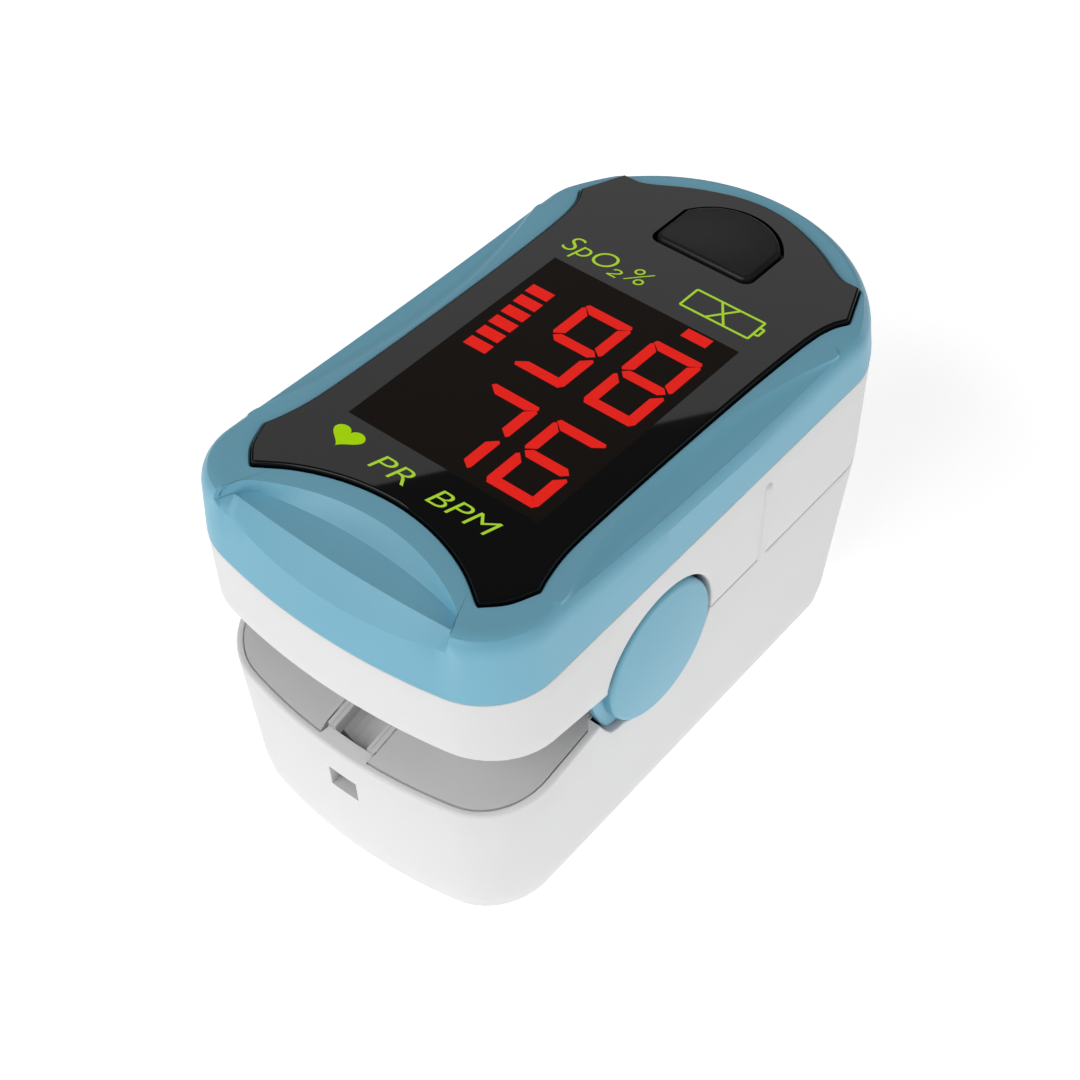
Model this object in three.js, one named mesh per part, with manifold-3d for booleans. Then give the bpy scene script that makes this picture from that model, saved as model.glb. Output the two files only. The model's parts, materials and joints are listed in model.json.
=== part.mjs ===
// Fingertip pulse oximeter: a sprung clip of two shells that closes on a finger.
// Millimetres, +Z up. The origin is the bottom centre of the body.
// +X is the right side, +Y points to the finger opening, -Y to the squeeze end.
import * as THREE from 'three';
import { mergeVertices } from 'three/addons/utils/BufferGeometryUtils.js';
import Module from 'manifold-3d';

const wasm = await Module();
wasm.setup();

// ---------------------------------------------------------------- driving dimensions
const GAP = 0.3;                     // clearance between neighbouring pieces
const WALL = 1.3;                    // shell wall thickness

// Plan outline of the body, at its widest level.
const HALF_WIDTH = 16;
const HALF_LENGTH = 29;
const NEAR_ARC_RADIUS = 54.5;
const NEAR_CORNER_RADIUS = 6.3;
const FAR_ARC_RADIUS = 17;
const FAR_CORNER_RADIUS = 5;

// Heights of the stacked shells.
const FLOOR_TOP = 2.6;
const PARTING_Z = 18;
const BORDER_Z = 28.35;              // line between the white shell and the blue cover
const COVER_TOP_Z = 33.15;           // blue surface at y = 0
const PANEL_TOP_Z = 33.5;            // black panel surface at y = 0
const TOP_SLOPE = 0.0528;            // the top falls towards the finger end
const PANEL_THICKNESS = 1.2;
const LEDGE_THICKNESS = 1.0;         // cover material under the panel

// Jaw hinge.
const HINGE_Y = -8.75;
const HINGE_Z = 19.3;
const CAP_RADIUS = 6.5;
const CAP_BACK_X = 14.8;
const CAP_RIM_X = 15.75;
const CAP_CROWN_X = 16.3;
const PIN_RADIUS = 1.25;
const BORE_RADIUS = PIN_RADIUS + GAP;
const LOWER_EAR = [13.1, 14.4];      // inner and outer face of the lower shell's ear
const UPPER_EAR = [11.5, 12.8];      // inner and outer face of the upper shell's ear
const LOWER_EAR_RADIUS = 5;
const UPPER_EAR_RADIUS = 4;

// The squeeze gap: a wedge between the two shells at the near end.
const WEDGE_VERTEX_Y = -15.5;
const UPPER_EDGE_Z = 20.0;           // upper shell's edge at the vertex
const UPPER_EDGE_SLOPE = 0.155;
const LOWER_RIM_Z = 16.8;            // lower shell's rim at the vertex
const LOWER_RIM_SLOPE = 0.22;

// Finger channel.
const CHANNEL_HALF_WIDTH = 9;
const CHANNEL_FLOOR_Z = 13.35;
const CHANNEL_ROOF_Z = 24.3;
const CHANNEL_START_Y = -4;
const CHANNEL_CORNER = 2.5;
const PAD_THICKNESS = 1;
const SENSOR_Y = 8;
const SENSOR_HALF = 1.6;

// Two AAA cells.
const CELL_RADIUS = 5.25;
const CELL_LENGTH = 44.5;
const CELL_X = 5.5;
const CELL_Z = 7.05;
const CELL_NEAR_Y = -24;
const CELL_FAR_Y = CELL_NEAR_Y + CELL_LENGTH;

// Battery door.
const DOOR_THICKNESS = 1.45;
const DOOR_HALF_WIDTH = 11.1;
const DOOR_NEAR_Y = -22;
const TONGUE_WIDTH = 0.9;
const TONGUE_Z = [0.85, DOOR_THICKNESS];

// Circuit board in the upper half.
const PCB_Z = [26.0, 27.0];
const PCB_HALF_WIDTH = 9.8;

// Display opening and power button, in plan.
const DISPLAY = { halfWidth: 9.2, nearY: -15, farY: 9.6 };
const BUTTON = { halfWidth: 4.75, nearY: 16.9, sideY: 21.6, farY: 24.4 };
const BUTTON_TOP_Z = 33.8;           // at y = 0, on the same slope as the panel
const BUTTON_FLANGE_Z = [30.0, 30.55];   // at y = 0
const BUTTON_FLANGE_WIDTH = 0.9;
const SWITCH_Y = 20.4;
const SWITCH_TOP_Z = 28.0;

// Screws.
const SCREW_HEAD_RADIUS = 1.4;
const SCREW_SHANK_RADIUS = 0.65;
const SCREW_HEAD_HEIGHT = 0.8;
const BOSS_RADIUS = 1.8;
const BOSS_BORE = SCREW_SHANK_RADIUS + GAP;

const MERGE_DISTANCE = 1e-4;
const ARC_STEPS = 8;
const FULL_TURN = Math.PI * 2;

// ---------------------------------------------------------------- solids from geometry
function solid(geometry) {
  const bare = geometry.index ? geometry.toNonIndexed() : geometry.clone();
  bare.deleteAttribute('normal');
  bare.deleteAttribute('uv');
  const merged = mergeVertices(bare, MERGE_DISTANCE);
  return new wasm.Manifold(new wasm.Mesh({
    numProp: 3,
    vertProperties: new Float32Array(merged.attributes.position.array),
    triVerts: new Uint32Array(merged.index.array),
  }));
}

function geometryOf(body) {
  const mesh = body.getMesh();
  const geometry = new THREE.BufferGeometry();
  const positions = new Float32Array(mesh.vertProperties);
  geometry.setAttribute('position', new THREE.BufferAttribute(positions, 3));
  geometry.setIndex(new THREE.BufferAttribute(new Uint32Array(mesh.triVerts), 1));
  geometry.computeVertexNormals();
  return geometry;
}

function join(first, ...others) {
  return others.reduce((sum, other) => sum.add(other), first);
}

function cut(first, ...tools) {
  return tools.reduce((rest, tool) => rest.subtract(tool), first);
}

function overlap(first, second) {
  return first.intersect(second);
}

// ---------------------------------------------------------------- outlines
function arc(centreX, centreY, radius, from, to, steps = ARC_STEPS) {
  const points = [];
  for (let i = 0; i <= steps; i += 1) {
    const angle = from + (to - from) * i / steps;
    points.push([centreX + radius * Math.cos(angle), centreY + radius * Math.sin(angle)]);
  }
  return points;
}

function shapeOf(points) {
  const kept = points.filter(([x, y], i) => {
    const [lastX, lastY] = points[(i + points.length - 1) % points.length];
    return Math.hypot(x - lastX, y - lastY) > 0.01;
  });
  return new THREE.Shape(kept.map(([x, y]) => new THREE.Vector2(x, y)));
}

// Centre height and tangent angle of the corner that joins a side to an end arc.
function corner(arcRadius, cornerRadius) {
  const centreX = HALF_WIDTH - cornerRadius;
  const rise = Math.sqrt((arcRadius - cornerRadius) ** 2 - centreX ** 2);
  return { centreX, rise, angle: Math.atan2(rise, centreX) };
}

function bodyOutline() {
  const far = corner(FAR_ARC_RADIUS, FAR_CORNER_RADIUS);
  const near = corner(NEAR_ARC_RADIUS, NEAR_CORNER_RADIUS);
  const farY = HALF_LENGTH - FAR_ARC_RADIUS;
  const nearY = NEAR_ARC_RADIUS - HALF_LENGTH;
  const right = [
    ...arc(near.centreX, nearY - near.rise, NEAR_CORNER_RADIUS, -near.angle, 0, 5),
    ...arc(far.centreX, farY + far.rise, FAR_CORNER_RADIUS, 0, far.angle, 3),
    ...arc(0, farY, FAR_ARC_RADIUS, far.angle, Math.PI / 2, 7),
  ];
  const nearHalf = arc(0, nearY, NEAR_ARC_RADIUS, -Math.PI / 2, -near.angle, 4);
  const half = [...nearHalf, ...right];
  const mirrored = half.slice().reverse().map(([x, y]) => [-x, y]);
  return [...half, ...mirrored];
}

function panelOutline(grow = 0) {
  const half = [
    [0, -19.7 - grow],
    [2.2, -20.1 - grow],
    [5.8, -21.1 - grow],
    [8.4, -22.0 - grow],
    [10.95, -23.6 - grow],
    [12.4, -22.0 - grow / 2],
    [13.3 + grow, -19.85],
    [12.9 + grow, -18.4],
    [12.2 + grow, -14.5],
    [12.05 + grow, 0],
    [12.2 + grow, 13],
    [12.7 + grow, 16.7],
    [13.55 + grow, 18.4],
    [11.95 + grow, 22.4 + grow],
    [10.4, 22.4 + grow],
    [9.3, 22.8 + grow],
    [7.4, 24.1 + grow],
    [5.2, 25.2 + grow],
    [2.5, 26.2 + grow],
    [0, 26.5 + grow],
  ];
  const mirrored = half.slice(1, -1).reverse().map(([x, y]) => [-x, y]);
  return [...half, ...mirrored];
}

function buttonOutline(grow = 0) {
  const halfWidth = BUTTON.halfWidth + grow;
  const nearY = BUTTON.nearY - grow;
  const sideY = BUTTON.sideY;
  const rise = BUTTON.farY + grow - sideY;
  const radius = (halfWidth ** 2 + rise ** 2) / (2 * rise);
  const start = Math.asin((radius - rise) / radius);
  const crown = arc(0, BUTTON.farY + grow - radius, radius, start, Math.PI - start, 8);
  const nearRound = 0.8;
  return [
    [halfWidth - nearRound, nearY],
    [halfWidth, nearY + nearRound],
    ...crown,
    [-halfWidth, nearY + nearRound],
    [-halfWidth + nearRound, nearY],
  ];
}

// Flat side at z = open, rounded corners at z = closed.
function channelSection(halfWidth, closed, open, radius) {
  const up = Math.sign(closed - open);
  const right = arc(halfWidth - radius, closed - up * radius, radius, 0, up * Math.PI / 2, 4);
  const left = right.slice().reverse().map(([x, z]) => [-x, z]);
  return [[halfWidth, open], ...right, ...left, [-halfWidth, open]];
}

function ring(radius, steps) {
  return arc(0, 0, radius, 0, FULL_TURN * (steps - 1) / steps, steps - 1);
}

// ---------------------------------------------------------------- basic solids
function extrude(points, depth, steps = 1) {
  return new THREE.ExtrudeGeometry(shapeOf(points), { depth, steps, bevelEnabled: false });
}

function alongZ(points, from, to) {
  return solid(extrude(points, to - from).translate(0, 0, from));
}

// Points are (x, z).
function alongY(points, from, to) {
  return solid(extrude(points, to - from).rotateX(Math.PI / 2).translate(0, to, 0));
}

// Points are (y, z); the prism runs between two x values, given in either order.
function alongX(points, first, second) {
  const geometry = extrude(points, Math.abs(second - first));
  const turn = new THREE.Matrix4().makeBasis(
    new THREE.Vector3(0, 1, 0),
    new THREE.Vector3(0, 0, 1),
    new THREE.Vector3(1, 0, 0),
  );
  geometry.applyMatrix4(turn);
  return solid(geometry.translate(Math.min(first, second), 0, 0));
}

function block([x0, x1], [y0, y1], [z0, z1]) {
  const geometry = new THREE.BoxGeometry(Math.abs(x1 - x0), y1 - y0, z1 - z0);
  return solid(geometry.translate((x0 + x1) / 2, (y0 + y1) / 2, (z0 + z1) / 2));
}

function rodX(first, second, radius, steps = 24, y = HINGE_Y, z = HINGE_Z) {
  const section = ring(radius, steps).map(([a, b]) => [a + y, b + z]);
  return alongX(section, first, second);
}

function postZ(x, y, radius, from, to, steps = 14) {
  return alongZ(ring(radius, steps).map(([a, b]) => [a + x, b + y]), from, to);
}

// Moves every point of an outline solid down the top slope.
function sloped(points, from, to) {
  const geometry = extrude(points, to - from).translate(0, 0, from);
  return solid(warped(geometry, (point) => {
    point.z -= TOP_SLOPE * point.y;
  }));
}

function warped(geometry, change) {
  const position = geometry.attributes.position;
  const point = new THREE.Vector3();
  for (let i = 0; i < position.count; i += 1) {
    point.fromBufferAttribute(position, i);
    change(point);
    position.setXYZ(i, point.x, point.y, point.z);
  }
  return geometry;
}

// A body with the plan outline, scaled at each level.
// A level is { z, width, near, far, slope }, where width is half the body's width there,
// near and far are how far it reaches, and slope is 1 on levels parallel to the top.
function bodyLoft(levels) {
  const last = levels.length - 1;
  return solid(warped(extrude(bodyOutline(), last, last), (point) => {
    const level = levels[Math.round(point.z)];
    const reach = point.y < 0 ? level.near : level.far;
    point.x *= level.width / HALF_WIDTH;
    point.y *= reach / HALF_LENGTH;
    point.z = level.z - TOP_SLOPE * point.y * (level.slope ?? 0);
  }));
}

// ---------------------------------------------------------------- shared body volumes
const LOWER_BODY = [
  { z: 0, width: 13.5, near: 27.4, far: 26.1 },
  { z: 1.3, width: 14.45, near: 28.35, far: 27.3 },
  { z: PARTING_Z - GAP / 2, width: 15.75, near: 28.9, far: 28.9 },
];
const UPPER_BODY = [
  { z: PARTING_Z + GAP / 2, width: 15.75, near: 28.9, far: 28.9 },
  { z: BORDER_Z - GAP / 2, width: HALF_WIDTH, near: HALF_LENGTH, far: HALF_LENGTH },
];
const COVER_BODY = [
  { z: BORDER_Z + GAP / 2, width: HALF_WIDTH, near: HALF_LENGTH, far: HALF_LENGTH },
  { z: COVER_TOP_Z - 1.7, width: 15.75, near: 28.1, far: 28.6, slope: 1 },
  { z: COVER_TOP_Z - 0.5, width: 15.4, near: 27.5, far: 28.1, slope: 1 },
  { z: COVER_TOP_Z, width: 14.9, near: 27.0, far: 27.6, slope: 1 },
];

// The room inside a shell whose outer levels are given, one wall thickness in.
function hollow(lowLevel, highLevel, from, to) {
  const inside = [[lowLevel, from], [highLevel, to]].map(([level, z]) => ({
    z,
    width: level.width - WALL,
    near: level.near - WALL,
    far: level.far - WALL,
  }));
  return bodyLoft(inside);
}

// The space below the upper shell's edge and the space above the lower shell's rim.
const BEYOND = 40;

function upperEdge(y) {
  return UPPER_EDGE_Z + (WEDGE_VERTEX_Y - y) * UPPER_EDGE_SLOPE;
}

function lowerRim(y) {
  return LOWER_RIM_Z - (WEDGE_VERTEX_Y - y) * LOWER_RIM_SLOPE;
}

function belowUpperEdge(rise) {
  return alongX([
    [-BEYOND, 0],
    [CHANNEL_START_Y - 1.2, 0],
    [CHANNEL_START_Y - 1.2, upperEdge(WEDGE_VERTEX_Y) - 0.4 + rise],
    [WEDGE_VERTEX_Y + 2.5, upperEdge(WEDGE_VERTEX_Y) - 0.4 + rise],
    [WEDGE_VERTEX_Y, upperEdge(WEDGE_VERTEX_Y) + rise],
    [-BEYOND, upperEdge(-BEYOND) + rise],
  ], -BEYOND, BEYOND);
}

function aboveLowerRim(drop) {
  return alongX([
    [WEDGE_VERTEX_Y + 3, BEYOND],
    [-BEYOND, BEYOND],
    [-BEYOND, lowerRim(-BEYOND) - drop],
    [WEDGE_VERTEX_Y + 3, lowerRim(WEDGE_VERTEX_Y + 3) - drop],
  ], -BEYOND, BEYOND);
}

const BOTH_SIDES = [-1, 1];

// ---------------------------------------------------------------- lower half
const TRAY_SCREWS = [[-12.9, 3], [12.9, 3], [-12.85, 15], [12.85, 15]];
const TRAY_FLANGE_Z = [16.2, 17.5];
const TRAY_SCREW_SEAT_Z = 17;
const TAB_OUTLINE = [[-13.4, 14.2], [-14.3, 14.4], [-15.0, 15.6], [-15.8, 17.6], [-16.6, 19.6], [-13.4, 19.6]];
const TAB_X = [14.45, 14.95];
const RIM_TAB = { halfWidth: 2.5, innerY: -26.7 };
const LANYARD_SLOT = { halfWidth: 1.5, z: [8.5, 10.8] };

function lowerShell() {
  let shell = cut(
    bodyLoft(LOWER_BODY),
    hollow(LOWER_BODY[1], LOWER_BODY[2], FLOOR_TOP, PARTING_Z),
    aboveLowerRim(0),
    alongY(channelSection(CHANNEL_HALF_WIDTH, CHANNEL_FLOOR_Z, BEYOND, CHANNEL_CORNER), 15, BEYOND),
  );
  const rimTab = cut(
    overlap(
      block([-RIM_TAB.halfWidth, RIM_TAB.halfWidth], [-28.6, RIM_TAB.innerY], [11.6, PARTING_Z]),
      bodyLoft(LOWER_BODY),
    ),
    aboveLowerRim(0),
  );
  shell = join(shell, rimTab);
  for (const [x, y] of TRAY_SCREWS) {
    shell = join(shell, overlap(postZ(x, y, BOSS_RADIUS, 1, TRAY_FLANGE_Z[0] - GAP), bodyLoft(LOWER_BODY)));
  }
  for (const side of BOTH_SIDES) {
    const ear = join(
      rodX(side * LOWER_EAR[0], side * LOWER_EAR[1], LOWER_EAR_RADIUS),
      block(
        LOWER_EAR.map((x) => x * side),
        [HINGE_Y - LOWER_EAR_RADIUS, HINGE_Y + LOWER_EAR_RADIUS],
        [FLOOR_TOP - 1, HINGE_Z],
      ),
    );
    shell = cut(shell, rodX(side * LOWER_EAR[1], side * BEYOND, CAP_RADIUS + GAP, 32));
    shell = join(shell, ear);
    shell = cut(
      shell,
      rodX(side * 10, side * CAP_CROWN_X, BORE_RADIUS, 16),
      alongX(tabRecess(), side * (TAB_X[0] - GAP), side * BEYOND),
    );
  }
  for (const [x, y] of TRAY_SCREWS) {
    shell = cut(shell, postZ(x, y, BOSS_BORE, 8, PARTING_Z));
  }
  const doorway = [
    block([-DOOR_HALF_WIDTH - GAP, DOOR_HALF_WIDTH + GAP], [DOOR_NEAR_Y - GAP, BEYOND], [-1, DOOR_THICKNESS + GAP]),
    block(
      [-DOOR_HALF_WIDTH - TONGUE_WIDTH - GAP, DOOR_HALF_WIDTH + TONGUE_WIDTH + GAP],
      [DOOR_NEAR_Y - GAP, BEYOND],
      [TONGUE_Z[0] - GAP, TONGUE_Z[1] + GAP],
    ),
    block([-DOOR_HALF_WIDTH, DOOR_HALF_WIDTH], [DOOR_NEAR_Y - 3, 22.6], [DOOR_THICKNESS, FLOOR_TOP + 1]),
  ];
  const slot = block(
    [-LANYARD_SLOT.halfWidth, LANYARD_SLOT.halfWidth],
    [-BEYOND, -25],
    LANYARD_SLOT.z,
  );
  return cut(shell, ...doorway, slot);
}

function tabRecess() {
  return [[-12, 13.6], [-14.35, 14.0], [-15.3, 15.4], [-16.1, 17.5], [-16.6, BEYOND], [-12, BEYOND]];
}

function batteryDoor() {
  const plate = block([-DOOR_HALF_WIDTH, DOOR_HALF_WIDTH], [DOOR_NEAR_Y, BEYOND], [-1, DOOR_THICKNESS]);
  const tongueReach = DOOR_HALF_WIDTH + TONGUE_WIDTH;
  const tongues = block([-tongueReach, tongueReach], [DOOR_NEAR_Y, 20], TONGUE_Z);
  let door = overlap(join(plate, tongues), bodyLoft(LOWER_BODY));
  const grooveCount = 5;
  for (let i = 0; i < grooveCount; i += 1) {
    const y = 17 + i * 1.2;
    door = cut(door, block([-5, 5], [y, y + 0.6], [-1, 0.4]));
  }
  return door;
}

// The grey inner cover: a sloping deck at the squeeze end and a trough for the finger pad.
function fingerTray() {
  const inside = bodyLoft([
    { z: 11, width: 13.7, near: 26.75, far: 26.4 },
    { z: PARTING_Z, width: 14.1, near: 27.25, far: 27.2 },
  ]);
  const deck = overlap(cut(inside, aboveLowerRim(0.1)), aboveLowerRim(1.2));
  const flange = overlap(inside, block([-BEYOND, BEYOND], [-13.2, BEYOND], TRAY_FLANGE_Z));
  const trough = overlap(inside, block([-9.9, 9.9], [-6, BEYOND], [12.55, TRAY_FLANGE_Z[1]]));
  const gutter = overlap(inside, notchPrism(2.7, -17.2));
  let tray = join(deck, flange, trough, gutter);
  tray = cut(
    tray,
    aboveLowerRim(0.1),
    notchPrism(2.0, -17.9),
    block([-RIM_TAB.halfWidth - GAP, RIM_TAB.halfWidth + GAP], [-BEYOND, RIM_TAB.innerY + GAP], [0, BEYOND]),
    alongY(
      channelSection(CHANNEL_HALF_WIDTH, CHANNEL_FLOOR_Z, BEYOND, CHANNEL_CORNER),
      CHANNEL_START_Y - 1,
      BEYOND,
    ),
    block([-SENSOR_HALF - GAP, SENSOR_HALF + GAP], [SENSOR_Y - SENSOR_HALF - GAP, SENSOR_Y + SENSOR_HALF + GAP], [11, 15]),
    block([-2, 2], [HINGE_Y - 0.6, HINGE_Y + 0.6], [11, PARTING_Z]),
  );
  for (const side of BOTH_SIDES) {
    tray = cut(tray, block([side * 8.4, side * BEYOND], [-14.6, -2.9], [0, BEYOND]));
  }
  for (const [x, y] of TRAY_SCREWS) {
    tray = cut(
      tray,
      postZ(x, y, BOSS_BORE, 8, BEYOND),
      postZ(x, y, SCREW_HEAD_RADIUS + GAP, TRAY_SCREW_SEAT_Z - GAP, BEYOND),
    );
  }
  return tray;
}

// A round-bottomed groove that follows the deck.
function notchPrism(radius, endY) {
  const section = [
    [radius, BEYOND],
    ...arc(0, 0, radius, 0, -Math.PI, 10),
    [-radius, BEYOND],
  ];
  const length = endY + 28;
  const geometry = extrude(section, length).rotateX(Math.PI / 2).translate(0, endY, 0);
  return solid(warped(geometry, (point) => {
    point.z += lowerRim(point.y) - 0.2;
  }));
}

function lowerPad() {
  const outside = channelSection(CHANNEL_HALF_WIDTH - GAP, CHANNEL_FLOOR_Z + GAP, 17.3, CHANNEL_CORNER - GAP);
  const inside = channelSection(
    CHANNEL_HALF_WIDTH - GAP - PAD_THICKNESS,
    CHANNEL_FLOOR_Z + GAP + PAD_THICKNESS,
    BEYOND,
    CHANNEL_CORNER - PAD_THICKNESS,
  );
  return overlap(
    cut(
      alongY(outside, CHANNEL_START_Y - 0.6, BEYOND),
      alongY(inside, CHANNEL_START_Y - 1, BEYOND),
      block([-SENSOR_HALF - GAP, SENSOR_HALF + GAP], [SENSOR_Y - SENSOR_HALF - GAP, SENSOR_Y + SENSOR_HALF + GAP], [11, 16]),
    ),
    mouthVolume(),
  );
}

// Pads end a little inside the shells' end wall.
function mouthVolume() {
  return bodyLoft([
    { z: 10, width: 13, near: 20, far: 27.4 },
    { z: 26, width: 13, near: 20, far: 27.4 },
  ]);
}

function cell(side) {
  const nubRadius = 1.9;
  const nubLength = 1;
  const profile = [
    [0, 0],
    [CELL_RADIUS - 0.5, 0],
    [CELL_RADIUS, 0.5],
    [CELL_RADIUS, CELL_LENGTH - nubLength - 0.6],
    [CELL_RADIUS - 0.6, CELL_LENGTH - nubLength],
    [nubRadius, CELL_LENGTH - nubLength],
    [nubRadius, CELL_LENGTH],
    [0, CELL_LENGTH],
  ];
  const geometry = new THREE.LatheGeometry(profile.map(([r, h]) => new THREE.Vector2(r, h)), 28);
  if (side > 0) {
    geometry.rotateX(Math.PI).translate(0, CELL_LENGTH, 0);
  }
  return solid(geometry.translate(side * CELL_X, CELL_NEAR_Y, CELL_Z));
}

// A cone-shaped coil that presses on a cell's flat end.
function contactSpring(x, fromY, toY) {
  const turns = 3.5;
  const stepsPerTurn = 12;
  const points = [];
  for (let i = 0; i <= turns * stepsPerTurn; i += 1) {
    const part = i / (turns * stepsPerTurn);
    const angle = part * turns * FULL_TURN;
    const radius = 3.4 - 1.6 * part;
    points.push(new THREE.Vector3(
      x + radius * Math.cos(angle),
      fromY + (toY - fromY) * part,
      CELL_Z + radius * Math.sin(angle),
    ));
  }
  return wire(points, 0.22, 6, points.length - 1);
}

function wire(points, radius, sides, steps) {
  const path = new THREE.CatmullRomCurve3(points, false, 'centripetal');
  const section = new THREE.Shape(ring(radius, sides).map(([a, b]) => new THREE.Vector2(a, b)));
  return solid(new THREE.ExtrudeGeometry(section, { extrudePath: path, steps, bevelEnabled: false }));
}

const CONTACT_THICKNESS = 0.35;
const SPRING_ROOM = 1.3;
const NEAR_CONTACT_Y = CELL_NEAR_Y - GAP - SPRING_ROOM - CONTACT_THICKNESS;
const FAR_CONTACT_Y = CELL_FAR_Y + GAP + SPRING_ROOM;

function contactPlate(x, fromY) {
  return block([x - 3.7, x + 3.7], [fromY, fromY + CONTACT_THICKNESS], [CELL_Z - 4, CELL_Z + 4]);
}

// The contact at the far end bridges both cells: a coil for one and a raised dome for the other.
function bridgeContact() {
  const plate = block([-8.6, 8.6], [FAR_CONTACT_Y, FAR_CONTACT_Y + CONTACT_THICKNESS], [CELL_Z - 3.6, CELL_Z + 3.6]);
  const dome = pressedDome(-CELL_X, FAR_CONTACT_Y + 0.1, CELL_FAR_Y + GAP);
  const coil = contactSpring(CELL_X, FAR_CONTACT_Y + 0.1, CELL_FAR_Y + GAP + 0.25);
  return join(plate, dome, coil);
}

function nearSpringContact() {
  const coil = contactSpring(-CELL_X, NEAR_CONTACT_Y + CONTACT_THICKNESS - 0.1, CELL_NEAR_Y - GAP - 0.25);
  return join(contactPlate(-CELL_X, NEAR_CONTACT_Y), coil);
}

function nearDomeContact() {
  const dome = pressedDome(CELL_X, NEAR_CONTACT_Y + CONTACT_THICKNESS - 0.1, CELL_NEAR_Y - GAP);
  return join(contactPlate(CELL_X, NEAR_CONTACT_Y), dome);
}

function pressedDome(x, fromY, toY) {
  const geometry = new THREE.CylinderGeometry(toY > fromY ? 1.4 : 2.4, toY > fromY ? 2.4 : 1.4, Math.abs(toY - fromY), 12);
  return solid(geometry.translate(x, (fromY + toY) / 2, CELL_Z));
}

function photoSensor() {
  return block([-SENSOR_HALF, SENSOR_HALF], [SENSOR_Y - SENSOR_HALF, SENSOR_Y + SENSOR_HALF], [12.5, 14.35]);
}

function sensorBoard() {
  return block([-1.9, 1.9], [SENSOR_Y - 5, SENSOR_Y + 3], [11.4, 12.2]);
}

function hingeCap(side) {
  const profile = [
    [0, CAP_BACK_X],
    [CAP_RADIUS, CAP_BACK_X],
    [CAP_RADIUS, CAP_RIM_X - 0.3],
    [CAP_RADIUS - 0.35, CAP_RIM_X],
    [4.4, CAP_RIM_X + 0.33],
    [2.2, CAP_CROWN_X - 0.05],
    [0, CAP_CROWN_X],
  ];
  const geometry = new THREE.LatheGeometry(profile.map(([r, h]) => new THREE.Vector2(r, h)), 32);
  geometry.rotateZ(-side * Math.PI / 2);
  const disc = solid(geometry.translate(0, HINGE_Y, HINGE_Z));
  const tab = alongX(TAB_OUTLINE, side * TAB_X[0], side * TAB_X[1]);
  return join(disc, tab);
}

function hingePin(side) {
  return rodX(side * 8.7, side * (CAP_BACK_X - GAP), PIN_RADIUS, 16);
}

// One leg lies over the upper shell's flange at the finger end, and the other presses on the
// tray's deck at the squeeze end, so the coil closes the jaws.
function torsionSpring(side) {
  const turns = 4;
  const stepsPerTurn = 14;
  const radius = 2.1;
  const fromX = 8.95;
  const toX = 10.9;
  const points = [
    new THREE.Vector3(side * toX, 1.5, 20.1),
    new THREE.Vector3(side * toX, -3.2, 20.5),
  ];
  for (let i = 0; i <= turns * stepsPerTurn; i += 1) {
    const part = i / (turns * stepsPerTurn);
    const angle = Math.PI / 2 + part * (turns + 1 / 6) * FULL_TURN;
    points.push(new THREE.Vector3(
      side * (toX + (fromX - toX) * part),
      HINGE_Y + radius * Math.cos(angle),
      HINGE_Z + radius * Math.sin(angle),
    ));
  }
  points.push(new THREE.Vector3(side * fromX, -12, 17.6));
  points.push(new THREE.Vector3(side * fromX, -13.2, 17.25));
  points.push(new THREE.Vector3(side * fromX, -16.5, 17.15));
  return wire(points, 0.25, 6, 80);
}

// A flat strip that carries the sensor's signal across the hinge to the circuit board.
function flexCable() {
  const points = [
    [-10.6, 25.6],
    [-9.6, 25.3],
    [HINGE_Y, 23.6],
    [HINGE_Y, HINGE_Z],
    [HINGE_Y, 14.5],
    [-8.2, 12.6],
    [-6.8, 11.9],
    [-3, 11.8],
    [SENSOR_Y - 5.35, 11.8],
  ].map(([y, z]) => new THREE.Vector3(0, y, z));
  const path = new THREE.CatmullRomCurve3(points, false, 'centripetal');
  const halfWidth = 1.3;
  const halfThick = 0.1;
  const section = new THREE.Shape([
    new THREE.Vector2(-halfWidth, -halfThick),
    new THREE.Vector2(halfWidth, -halfThick),
    new THREE.Vector2(halfWidth, halfThick),
    new THREE.Vector2(-halfWidth, halfThick),
  ]);
  return solid(new THREE.ExtrudeGeometry(section, { extrudePath: path, steps: 36, bevelEnabled: false }));
}

function screw(x, y, headZ, tipZ) {
  const up = Math.sign(tipZ - headZ);
  const neckZ = headZ + up * SCREW_HEAD_HEIGHT;
  const profile = [
    [0, headZ],
    [SCREW_HEAD_RADIUS, headZ],
    [SCREW_HEAD_RADIUS, neckZ],
    [SCREW_SHANK_RADIUS, neckZ],
    [SCREW_SHANK_RADIUS, tipZ - up * 0.6],
    [0, tipZ],
  ];
  const ordered = up > 0 ? profile : profile.slice().reverse();
  const geometry = new THREE.LatheGeometry(ordered.map(([r, h]) => new THREE.Vector2(r, h)), 12);
  geometry.rotateX(Math.PI / 2);
  const driver = block([x - 0.9, x + 0.9], [y - 0.2, y + 0.2], up > 0 ? [headZ - 1, headZ + 0.35] : [headZ - 0.35, headZ + 1]);
  return cut(solid(geometry.translate(x, y, 0)), driver);
}

// ---------------------------------------------------------------- upper half
const COVER_SCREWS = [[-10.4, -22.6], [10.4, -22.6], [-12.3, 11.5], [12.3, 11.5]];
const UPPER_FLANGE_TOP = PARTING_Z + 1.35;
const ROOF_THICKNESS = 1;
const SCREW_PAD = { radius: 2.5, height: 2.2 };

function seatZ(y) {
  return y < WEDGE_VERTEX_Y ? upperEdge(y) : PARTING_Z + GAP / 2;
}

function coverScrewHeadZ(y) {
  return seatZ(y) + 0.15;
}

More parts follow.
